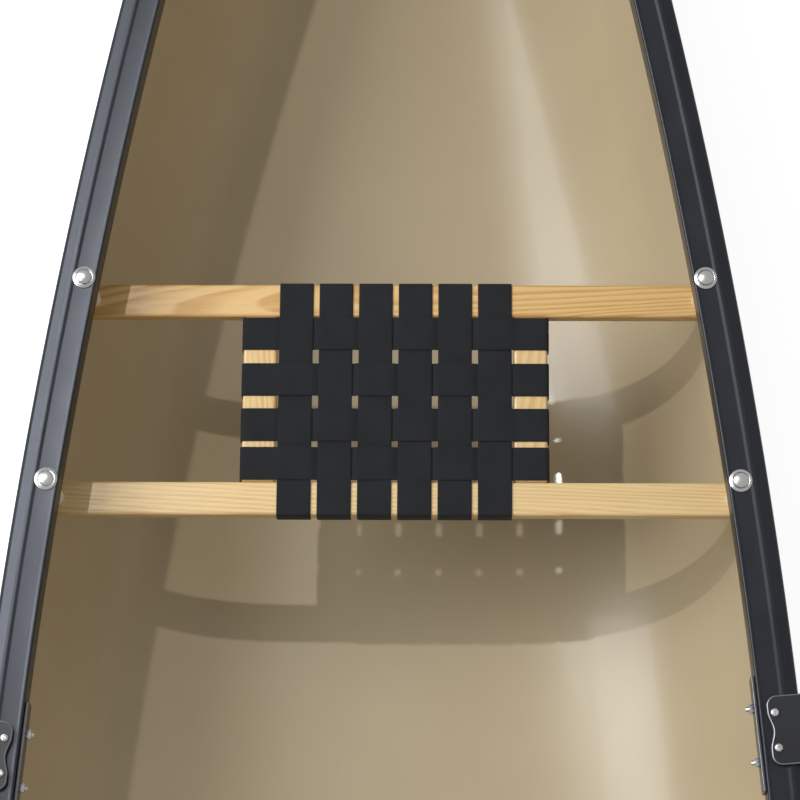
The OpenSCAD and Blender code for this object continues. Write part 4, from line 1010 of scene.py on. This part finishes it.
def makeSeat(word):
    xc, drop = seatValues["places"][word]
    frameHere = seatFrame(xc)
    slope = slopeOf(sheer, xc)
    thick, railHalfWidth = boardValues["thick"], seatValues["railWidth"] / 2

    def makeRail(place, kind, title, half, spot):
        outline = [(-half, -railHalfWidth), (half, -railHalfWidth), (half, railHalfWidth), (-half, railHalfWidth)]
        buildPart(slab(outline, -thick, 0), word + "Seat" + place.title() + title, [place],
                  word + "_seat_" + place + kind, place=spot, soften=boardValues["edge"])

    for end, place in ((1, "front"), (-1, "rear")):
        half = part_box(word + "_seat_" + place + "_rail")[1].y
        makeRail(place, "_rail", "Rail", half, alongY(frameHere @ moved((end * seatValues["longRailX"], 0, -drop))))
    for side, place in ((1, "port"), (-1, "starboard")):
        makeRail(place, "_side_rail", "SideRail", seatValues["sideRailHalf"],
                 frameHere @ moved((0, side * seatValues["sideRailY"], -drop)))

    lengthwise, crosswise = Shape(), Shape()
    crossPlaces = list(reversed(seatValues["crossPlaces"]))
    pitch = seatValues["strapPitch"]
    for k in range(6):
        y = (2.5 - k) * pitch
        high = [(r + k) % 2 == 0 for r in (3, 2, 1, 0)]
        addStrap(lengthwise, wrapPath(seatValues["webHalfX"], crossPlaces, high),
                 frameHere @ moved((0, y, -drop)), k * 0.71)
    lengthPlaces = [(k - 2.5) * pitch for k in range(6)]
    for r in range(4):
        high = [(r + k) % 2 != 0 for k in (5, 4, 3, 2, 1, 0)]
        spot = frameHere @ moved((seatValues["crossPlaces"][r], 0, -drop))
        addStrap(crosswise, wrapPath(seatValues["webHalfY"], lengthPlaces, high), alongY(spot), 7 + r * 0.53)
    lengthwise.build(word + "SeatLengthwiseStraps", ["webbing"], word + "_seat_lengthwise_webbing", angle=60)
    crosswise.build(word + "SeatCrosswiseStraps", ["webbing"], word + "_seat_crosswise_webbing", angle=60)

    # staples hold the straps' tails under the rails
    staples = Shape()
    for side in (1, -1):
        for place in (-0.25, 0.25):
            for k in range(6):
                y = (2.5 - k) * pitch + place * seatValues["strapWidth"]
                addStaple(staples, frameHere @ moved((side * seatValues["stapleX"], y, seatValues["stapleZ"] - drop)))
            for r in range(4):
                x = seatValues["crossPlaces"][r] + place * seatValues["strapWidth"]
                spot = frameHere @ moved((x, side * seatValues["stapleY"], seatValues["stapleZ"] - drop))
                addStaple(staples, spot @ turned(math.pi / 2, "Z"))
    staples.build(word + "SeatStapleSet", ["wire"], word + "_seat_staples")

    bolts, washers, spacers, nuts = Shape(), Shape(), Shape(), Shape()
    for end in (1, -1):
        x = end * seatValues["longRailX"]
        worldX = xc + x * math.cos(slope)
        for side in (1, -1):
            y = side * boltY(worldX)
            over = overSeat(xc, x)
            spot = frameHere @ moved((x, y, over))
            washers.add(dishedWasher(), spot)
            addBolt(bolts, spot, boltValues["head"], boltValues["headHigh"],
                    over + drop + seatValues["boltBelow"] + seatValues["boltSeat"], seatValues["boltSeat"])
            under = frameHere @ moved((x, y, -drop))
            longest = over + drop - (gunwaleValues["rise"] + gunwaleValues["drop"]) * math.cos(slope) - 0.0004
            spacers.add(spacerTube(longest), under)
            addNut(nuts, frameHere @ moved((x, y, -drop - thick - boardValues["faceGap"])))
    bolts.build(word + "SeatBoltSet", ["steel"], word + "_seat_bolts")
    washers.build(word + "SeatWasherSet", ["steel"], word + "_seat_dished_washers", angle=25)
    spacers.build(word + "SeatSpacerSet", ["nylon"], word + "_seat_spacers")
    nuts.build(word + "SeatNutSet", ["steel"], word + "_seat_nuts")
    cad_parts[word + "_seat_dowels"].data.materials.clear()
    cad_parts[word + "_seat_dowels"].data.materials.append(finishes["dowel"])


def addStaple(shape, place):
    # a wire crown with rounded shoulders, its legs driven into the wood
    wire, half, leg = 0.0005, 0.0055, 0.0075
    line = [(-half, leg), (-half, 0.0012), (-half + 0.0004, 0.0004), (-half + 0.0012, 0), (half - 0.0012, 0),
            (half - 0.0004, 0.0004), (half, 0.0012), (half, leg)]
    rings = []
    for i, (y, z) in enumerate(line):
        a, b = Vector(line[max(0, i - 1)]), Vector(line[min(len(line) - 1, i + 1)])
        run = (b - a).normalized()
        normal = Vector((-run.y, run.x))
        ring = []
        for k in range(8):
            turn = 2 * math.pi * k / 8
            inPlane, sideways = wire * math.cos(turn), wire * math.sin(turn)
            ring.append((sideways, y + normal.x * inPlane, z - wire + normal.y * inPlane))
        rings.append(ring)
    shape.add(skinned(rings), place)


def dishedWasher():
    # a flat brim, a slope up to a crest, and a groove that the bolt's head sits in
    profile = [(3.3, 0.2), (12.3, 0.2), (12.5, 0.35), (12.5, 0.75), (12.3, 0.9), (11.9, 1.0), (11.3, 1.3),
               (10.7, 1.8), (10.2, 2.1), (9.8, 2.2), (9.4, 2.1), (9.1, 1.7), (8.9, 1.3), (3.4, 1.3), (3.3, 1.2),
               (3.3, 0.2)]
    return lathed([(r / 1000, z / 1000) for r, z in profile], 64)


def spacerTube(length):
    outer, bore, ease = seatValues["spacer"] / 2, seatValues["spacerBore"] / 2, 0.0006
    low, high = 0.0002, length
    return lathed([(bore, low), (outer - ease, low), (outer, low + ease), (outer, high - ease), (outer - ease, high),
                   (bore, high), (bore, low)], 56)


def overSeat(xc, x):  # the gunwale's top over the seat frame, at a bolt
    slope = slopeOf(sheer, xc)
    z = 0.0
    for _ in range(6):
        worldX = xc + x * math.cos(slope) - z * math.sin(slope)
        z = (gunwaleTop(worldX) - gunwaleTop(xc) - x * math.sin(slope)) / math.cos(slope)
    return z


for word in ("bow", "stern"):
    makeSeat(word)
print("canoe: seats woven and hung")

# Rowing brackets are coated castings: a plate over the gunwale, an apron outside it and a barrel for the bush.
bracketValues = {
    "portX": 0.537,
    "starboardX": 0.568,
    "length": 0.075,
    "thick": 0.005,
    "lift": 0.0003,
    "plateIn": 0.037,
    "corner": 0.011,
    "waistHalf": 0.021,
    "waistDip": 0.0045,
    "barrel": 0.030,
    "socketOut": 0.017,
    "barrelFoot": -0.0407,
    "bushSeat": 0.00891,
    "screwPitch": 0.038,
    "screwIn": 0.029,
    "screwHead": 0.0095,
    "screwDome": 0.003,
    "throughPitch": 0.058,
    "throughDrop": 0.018,
    "throughHead": 0.012,
    "throughDome": 0.0034,
    "throughLength": 0.0625,
    "backingLength": 0.126,
    "backingHigh": 0.024,
    "backingThick": 0.003,
    "backingY": -0.0455,
    "backingCorner": 0.003,
    "backingEdge": 0.0007,
    "apronFoot": -0.032,
    "apronCorner": 0.006,
    "apronGap": 0.0002,
    "apronEdge": 0.0009,
    "throughHole": 0.0066,
    "edge": 0.0014,
}


def bracketFrame(side):
    x = bracketValues["portX"] if side > 0 else bracketValues["starboardX"]
    y = breadth(x / halfLength) + 0.0075
    place = moved((x, y, gunwaleTop(x))) @ turned(slopeOf(breadth, x), "Z")
    return Matrix.Scale(-1, 4, (0, 1, 0)) @ place if side < 0 else place


def plateOutline():
    half, thick, inner = bracketValues["length"] / 2, bracketValues["thick"], -bracketValues["plateIn"]
    corner = bracketValues["corner"]
    barrel, out = bracketValues["barrel"] / 2, bracketValues["socketOut"]
    points = []
    for k in range(13):  # the inner corners are round
        a = math.pi + math.pi / 2 * k / 12
        points.append((-half + corner + corner * math.cos(a), inner + corner + corner * math.sin(a)))
    reach, dip = bracketValues["waistHalf"], bracketValues["waistDip"]
    for k in range(1, 32):  # the waist dips into the inner edge in one soft wave
        x = mix(-reach, reach, k / 32)
        points.append((x, inner + dip * (1 + math.cos(math.pi * x / reach)) / 2))
    for k in range(13):
        a = -math.pi / 2 + math.pi / 2 * k / 12
        points.append((half - corner + corner * math.cos(a), inner + corner + corner * math.sin(a)))
    points.append((half, thick - 0.001))
    for k in range(33):
        a = math.pi * k / 32
        points.append((barrel * math.cos(a), out + barrel * math.sin(a)))
    points.append((-half, thick - 0.001))
    return points


def cylinderPart(radius, low, high, sides):
    return lathed([(0.00005, low), (radius, low), (radius, high), (0.00005, high)], sides)


def makeBracket(side, word):
    place = bracketFrame(side)
    lift, thick = bracketValues["lift"], bracketValues["thick"]
    half = bracketValues["length"] / 2
    top, middle = lift + thick - 0.0012, -bracketValues["throughDrop"]
    node = word + "_oarlock_bracket"
    # the plate's bevels take the lighter edge metal, a painted edge highlight with some wear
    buildPart(slab(plateOutline(), lift, lift + thick), word + "RowingBracketPlate", ["coated", "rubbed"], node,
              place=place, soften=bracketValues["edge"])

    foot, corner = bracketValues["apronFoot"], bracketValues["apronCorner"]
    outline = filleted([(-half, foot, corner), (half, foot, corner), (half, top, 0.0), (-half, top, 0.0)], 5)
    inner = bracketValues["apronGap"]
    apron = buildPart(slab(outline, inner, inner + thick, axis=1), word + "RowingBracketApron", ["coated"], node,
                      place=place, soften=bracketValues["apronEdge"])
    for end in (1, -1):
        spot = place @ moved((end * bracketValues["throughPitch"] / 2, 0, middle))
        carve(apron, cylinderPart(bracketValues["throughHole"] / 2, -0.1, 0.1, 32), spot @ turned(math.pi / 2, "X"))

    radius, foot, seat = bracketValues["barrel"] / 2, bracketValues["barrelFoot"], bracketValues["bushSeat"]
    barrel = Shape()
    barrel.add(lathed([(seat, foot + 0.0006), (seat + 0.0006, foot), (radius - 0.0016, foot),
                       (radius - 0.0005, foot + 0.0004), (radius, foot + 0.0014), (radius, top), (seat, top),
                       (seat, foot + 0.0006)], 72), moved((0, bracketValues["socketOut"], 0)))
    barrel.build(word + "RowingBracketBarrel", ["coated"], node, place=place, angle=40)

    length, tall, corner = (bracketValues[k] for k in ("backingLength", "backingHigh", "backingCorner"))
    outline = filleted([(x * length / 2, middle + z * tall / 2, corner)
                        for x, z in ((-1, -1), (1, -1), (1, 1), (-1, 1))])
    inner = bracketValues["backingY"]
    # the backing plate's bevels take the lighter edge metal too, a painted edge highlight with some wear
    buildPart(slab(outline, inner - bracketValues["backingThick"], inner, axis=1), word + "BackingPlate",
              ["flatBar", "rubbed"], word + "_backing_plate", place=place, soften=bracketValues["backingEdge"],
              layers=2)


for side, word in ((1, "port"), (-1, "starboard")):
    makeBracket(side, word)

screws, bolts, nuts, recesses = Shape(), Shape(), Shape(), []
faceGap = boardValues["faceGap"]
top = bracketValues["lift"] + bracketValues["thick"] + faceGap
outside = bracketValues["thick"] + 2 * faceGap
inside = bracketValues["backingY"] - bracketValues["backingThick"] - faceGap
for side in (1, -1):
    place = bracketFrame(side)
    for end in (1, -1):
        spot = place @ moved((end * bracketValues["screwPitch"] / 2, -bracketValues["screwIn"], top))
        screws.add(panHead(bracketValues["screwHead"], bracketValues["screwDome"], 0.0048), spot)
        screws.add(lathed([(0.00005, 0.0004), (0.0024, 0.0004), (0.0024, -top - 0.018), (0.0012, -top - 0.020),
                           (0.00005, -top - 0.020)], 24), spot)
        turn = turned(math.radians(20 + 50 * end + 13 * side), "Z")  # no two screws stop at the same turn
        recesses.append(spot @ moved((0, 0, bracketValues["screwDome"])) @ turn)
        bolt, nut = (place @ moved((end * bracketValues["throughPitch"] / 2, y, -bracketValues["throughDrop"]))
                     @ turned(-math.pi / 2, "X") for y in (outside, inside))
        addBolt(bolts, bolt, bracketValues["throughHead"], bracketValues["throughDome"], bracketValues["throughLength"])
        nuts.add(hexNut(boltValues["nutFlats"], -boltValues["nutHigh"], 0, boltValues["shank"] / 2 + 0.00005), nut)
screws = screws.build("bracketScrewSet", ["screwSteel"], "bracket_screws")
for place in recesses:
    carve(screws, crossRecess(bracketValues["screwHead"], 0.0016), place)
bolts.build("bracketBoltSet", ["steel"], "bracket_bolts")
nuts.build("bracketNutSet", ["steel"], "bracket_nuts")
print("canoe: rowing brackets fitted")

# Oarlocks are galvanised castings that turn in their bushes; a keeper pin goes through each foot.
oarlockValues = {
    "axisX": {"port": 0.538394, "starboard": 0.569474},
    "axisY": {"port": 0.458196, "starboard": -0.455534},
    "top": {"port": 0.359034, "starboard": 0.359199},
    "shank": 0.0126,
    "collar": 0.024,
    "ringUp": 0.0425,
    "ringRadius": 0.0305,
    "horn": 0.011,
    "gapHalf": 47.5,
    "ball": 0.013,
    "flange": 0.034,
    "pin": 0.003,
    "pinLength": 0.026,
    "pinDown": -0.052,
    "shankFoot": -0.058,
    "bore": 0.01272,
    "tube": 0.01772,
    "bushFoot": -0.046,
    "voxel": 0.0011,
}


def oarlockFrame(word):
    side = 1 if word == "port" else -1
    x = bracketValues["portX"] if side > 0 else bracketValues["starboardX"]
    spot = (oarlockValues["axisX"][word], oarlockValues["axisY"][word], oarlockValues["top"][word])
    return moved(spot) @ turned(side * slopeOf(breadth, x), "Z")


def hornPart():
    # a round bar bent into an open ring, drawn out slimmer towards its tips
    ring, bar = oarlockValues["ringRadius"], oarlockValues["horn"] / 2
    rings = []
    count = 96
    for i in range(count + 1):
        a = math.radians(mix(90 - oarlockValues["gapHalf"], 90 - oarlockValues["gapHalf"] - (360 - 2
                             * oarlockValues["gapHalf"]), i / count))
        thick = bar * (0.86 + 0.14 * math.sin(math.pi * i / count) ** 1.5)
        rings.append([((ring + thick * math.cos(t)) * math.cos(a), thick * math.sin(t),
                       oarlockValues["ringUp"] + (ring + thick * math.cos(t)) * math.sin(a))
                      for t in (2 * math.pi * k / 28 for k in range(28))])
    return skinned(rings)


def ballPart(place, radius):
    profile = [(max(0.00002, radius * math.sin(math.pi * k / 20)), -radius * math.cos(math.pi * k / 20))
               for k in range(21)]
    points, faces = lathed(profile, 36)
    return [tuple(Vector(p) + Vector(place)) for p in points], faces


def makeOarlock(word):
    place = oarlockFrame(word)
    body = Shape()
    body.add(hornPart())
    gap = math.radians(oarlockValues["gapHalf"])
    for end in (1, -1):
        body.add(ballPart((end * oarlockValues["ringRadius"] * math.sin(gap), 0,
                           oarlockValues["ringUp"] + oarlockValues["ringRadius"] * math.cos(gap)),
                          oarlockValues["ball"] / 2))
    shank, collar = oarlockValues["shank"] / 2, oarlockValues["collar"] / 2
    body.add(lathed([(0.00002, 0.0030), (collar - 0.0006, 0.0030), (collar, 0.0038), (collar, 0.0070),
                     (collar - 0.0012, 0.0080), (shank + 0.0030, 0.0092), (shank + 0.0008, 0.0125),
                     (shank - 0.0004, 0.0150), (0.00002, 0.0155)], 72))
    casting = body.build(word + "OarlockCasting", ["zinc"], body=None, place=place)
    # the parts are fused as one casting, with its corners melted together
    fused = casting.modifiers.new("fused", "REMESH")
    fused.mode, fused.voxel_size, fused.use_smooth_shade = "VOXEL", oarlockValues["voxel"], True
    melted = casting.modifiers.new("melted", "SMOOTH")
    melted.factor, melted.iterations = 0.5, 4
    graph = bpy.context.evaluated_depsgraph_get()
    mesh = bpy.data.meshes.new_from_object(casting.evaluated_get(graph))
    casting.modifiers.clear()
    casting.data = mesh
    mesh.shade_smooth()
    node = word + "_oarlock"
    settle(casting, node, "zinc", node)

    foot = oarlockValues["shankFoot"]
    stem = buildPart(lathed([(0.00005, foot), (shank - 0.0012, foot), (shank, foot + 0.0012), (shank, 0.0034),
                             (0.00005, 0.0034)], 64), word + "OarlockShank", ["zinc"], node, body=node, place=place)
    carve(stem, cylinderPart(oarlockValues["pin"] / 2 + 0.0001, -0.02, 0.02, 24),
          place @ moved((0, 0, oarlockValues["pinDown"])) @ turned(math.pi / 2, "Y"))

    bore, tube, flange = (oarlockValues[k] / 2 for k in ("bore", "tube", "flange"))
    low = oarlockValues["bushFoot"]
    bush = [(bore + 0.0009, 0.0027), (flange - 0.0012, 0.0027), (flange - 0.0003, 0.0023), (flange, 0.0016),
            (flange, 0.0004), (flange - 0.0002, 0.0002), (tube, 0.0002), (tube, low + 0.0008), (tube - 0.0007, low),
            (bore + 0.0004, low), (bore, low + 0.0005), (bore, 0.0018), (bore + 0.0009, 0.0027)]
    buildPart(lathed(bush, 80), word + "SocketBush", ["bush"], word + "_socket_bush", place=place)

    radius, length = oarlockValues["pin"] / 2, oarlockValues["pinLength"]
    pin = [(0.00005, 0.0), (0.0026, 0.0), (0.003, 0.0005), (0.003, 0.0015), (0.0026, 0.002), (radius, 0.002),
           (radius, length - 0.0005), (radius - 0.0005, length), (0.00005, length)]
    buildPart(lathed(pin, 32), word + "KeeperPin", ["steel"], word + "_keeper_pin", body=node,
              place=place @ moved((-length / 2, 0, oarlockValues["pinDown"])) @ turned(math.pi / 2, "Y"))


for word in ("port", "starboard"):
    makeOarlock(word)
print("canoe: oarlocks shipped")

# The stage: a pale floor, a pale room and soft lamps. The camera stands above the bow seat and looks down.
stageValues = {
    "floorSize": 90.0,
    "floorColour": (0.83, 0.83, 0.82),
    "worldColour": (1.0, 1.0, 1.0),
    "worldPower": 0.42,
    "backdropPower": 1.0,
    "floorGlow": 0.75,
    "lamps": [
        # name, place, aimed at, size x, size y, watts, colour
        ("keyLamp", (1.93, 1.21, 3.65), (0.8, 0.0, 0.2), 0.06, 0.06, 31.0, (1.0, 1.0, 1.0)),
        ("portLamp", (1.5, 3.3, 3.6), (0.8, 0.0, 0.2), 3.4, 3.0, 185.0, (0.92, 0.95, 1.0)),
    ],
}
cameraValues = {
    "place": (-0.09107, -0.07539, 3.71416),
    "tilt": 16.97,
    "turn": 3.809,
    "roll": 0.47,
    "lens": 144.0,
}


def makeFloor():
    size = stageValues["floorSize"] / 2
    mesh = bpy.data.meshes.new("studioFloor")
    mesh.from_pydata([(-size, -size, 0), (size, -size, 0), (size, size, 0), (-size, size, 0)], [], [(0, 1, 2, 3)])
    floor = bpy.data.objects.new("studioFloor", mesh)
    bpy.context.scene.collection.objects.link(floor)
    material, tree, shader, here = startMaterial("paleFloor", stageValues["floorColour"], 0.75, specular=0.2)
    cloud = noise(tree, here["Object"], 0.6, 2.0)
    pale = stageValues["floorColour"]
    tree.links.new(blendColours(tree, cloud, pale, tuple(c * 0.985 for c in pale)), shader.inputs["Base Color"])
    shader.inputs["Emission Color"].default_value = (1, 1, 1, 1)
    # the glow keeps the floor pale to the eye, and adds no light to the canoe
    seen = makeNode(tree, "ShaderNodeLightPath").outputs["Is Camera Ray"]
    tree.links.new(times(tree, seen, stageValues["floorGlow"]), shader.inputs["Emission Strength"])
    mesh.materials.append(material)


def makeLights():
    world = bpy.data.worlds.new("paleRoom")
    bpy.context.scene.world = world
    world.use_nodes = True
    back = world.node_tree.nodes["Background"]
    back.inputs["Color"].default_value = (*stageValues["worldColour"], 1)
    # the room looks bright behind the canoe, but lights it only dimly
    seen = makeNode(world.node_tree, "ShaderNodeLightPath").outputs["Is Camera Ray"]
    extra = times(world.node_tree, seen, stageValues["backdropPower"] - stageValues["worldPower"])
    world.node_tree.links.new(plus(world.node_tree, extra, stageValues["worldPower"]), back.inputs["Strength"])
    for name, place, aim, sizeX, sizeY, watts, colour in stageValues["lamps"]:
        lamp = bpy.data.lights.new(name, "AREA")
        lamp.shape, lamp.size, lamp.size_y, lamp.energy = "RECTANGLE", sizeX, sizeY, watts
        lamp.color = colour
        stand = bpy.data.objects.new(name, lamp)
        stand.matrix_world = (moved(place)
                              @ (Vector(aim) - Vector(place)).to_track_quat("-Z", "Y").to_matrix().to_4x4())
        bpy.context.scene.collection.objects.link(stand)


def makeCamera():
    tilt, turn, roll = (math.radians(cameraValues[k]) for k in ("tilt", "turn", "roll"))
    ahead = Vector((math.sin(tilt) * math.cos(turn), math.sin(tilt) * math.sin(turn), -math.cos(tilt)))
    up = Vector((1, 0, 0))
    up = (up - ahead * up.dot(ahead)).normalized()
    right = ahead.cross(up)
    across = math.cos(roll) * right + math.sin(roll) * up
    top = math.cos(roll) * up - math.sin(roll) * right
    lens = bpy.data.cameras.new("viewCamera")
    lens.lens, lens.sensor_width, lens.clip_start, lens.clip_end = cameraValues["lens"], 36.0, 0.05, 300.0
    camera = bpy.data.objects.new("viewCamera", lens)
    camera.matrix_world = moved(cameraValues["place"]) @ Matrix((across, top, -ahead)).transposed().to_4x4()
    bpy.context.scene.collection.objects.link(camera)
    bpy.context.scene.camera = camera


bpy.context.scene.view_settings.view_transform = "Standard"
makeFloor()
makeLights()
makeCamera()
print("canoe: stage lit")
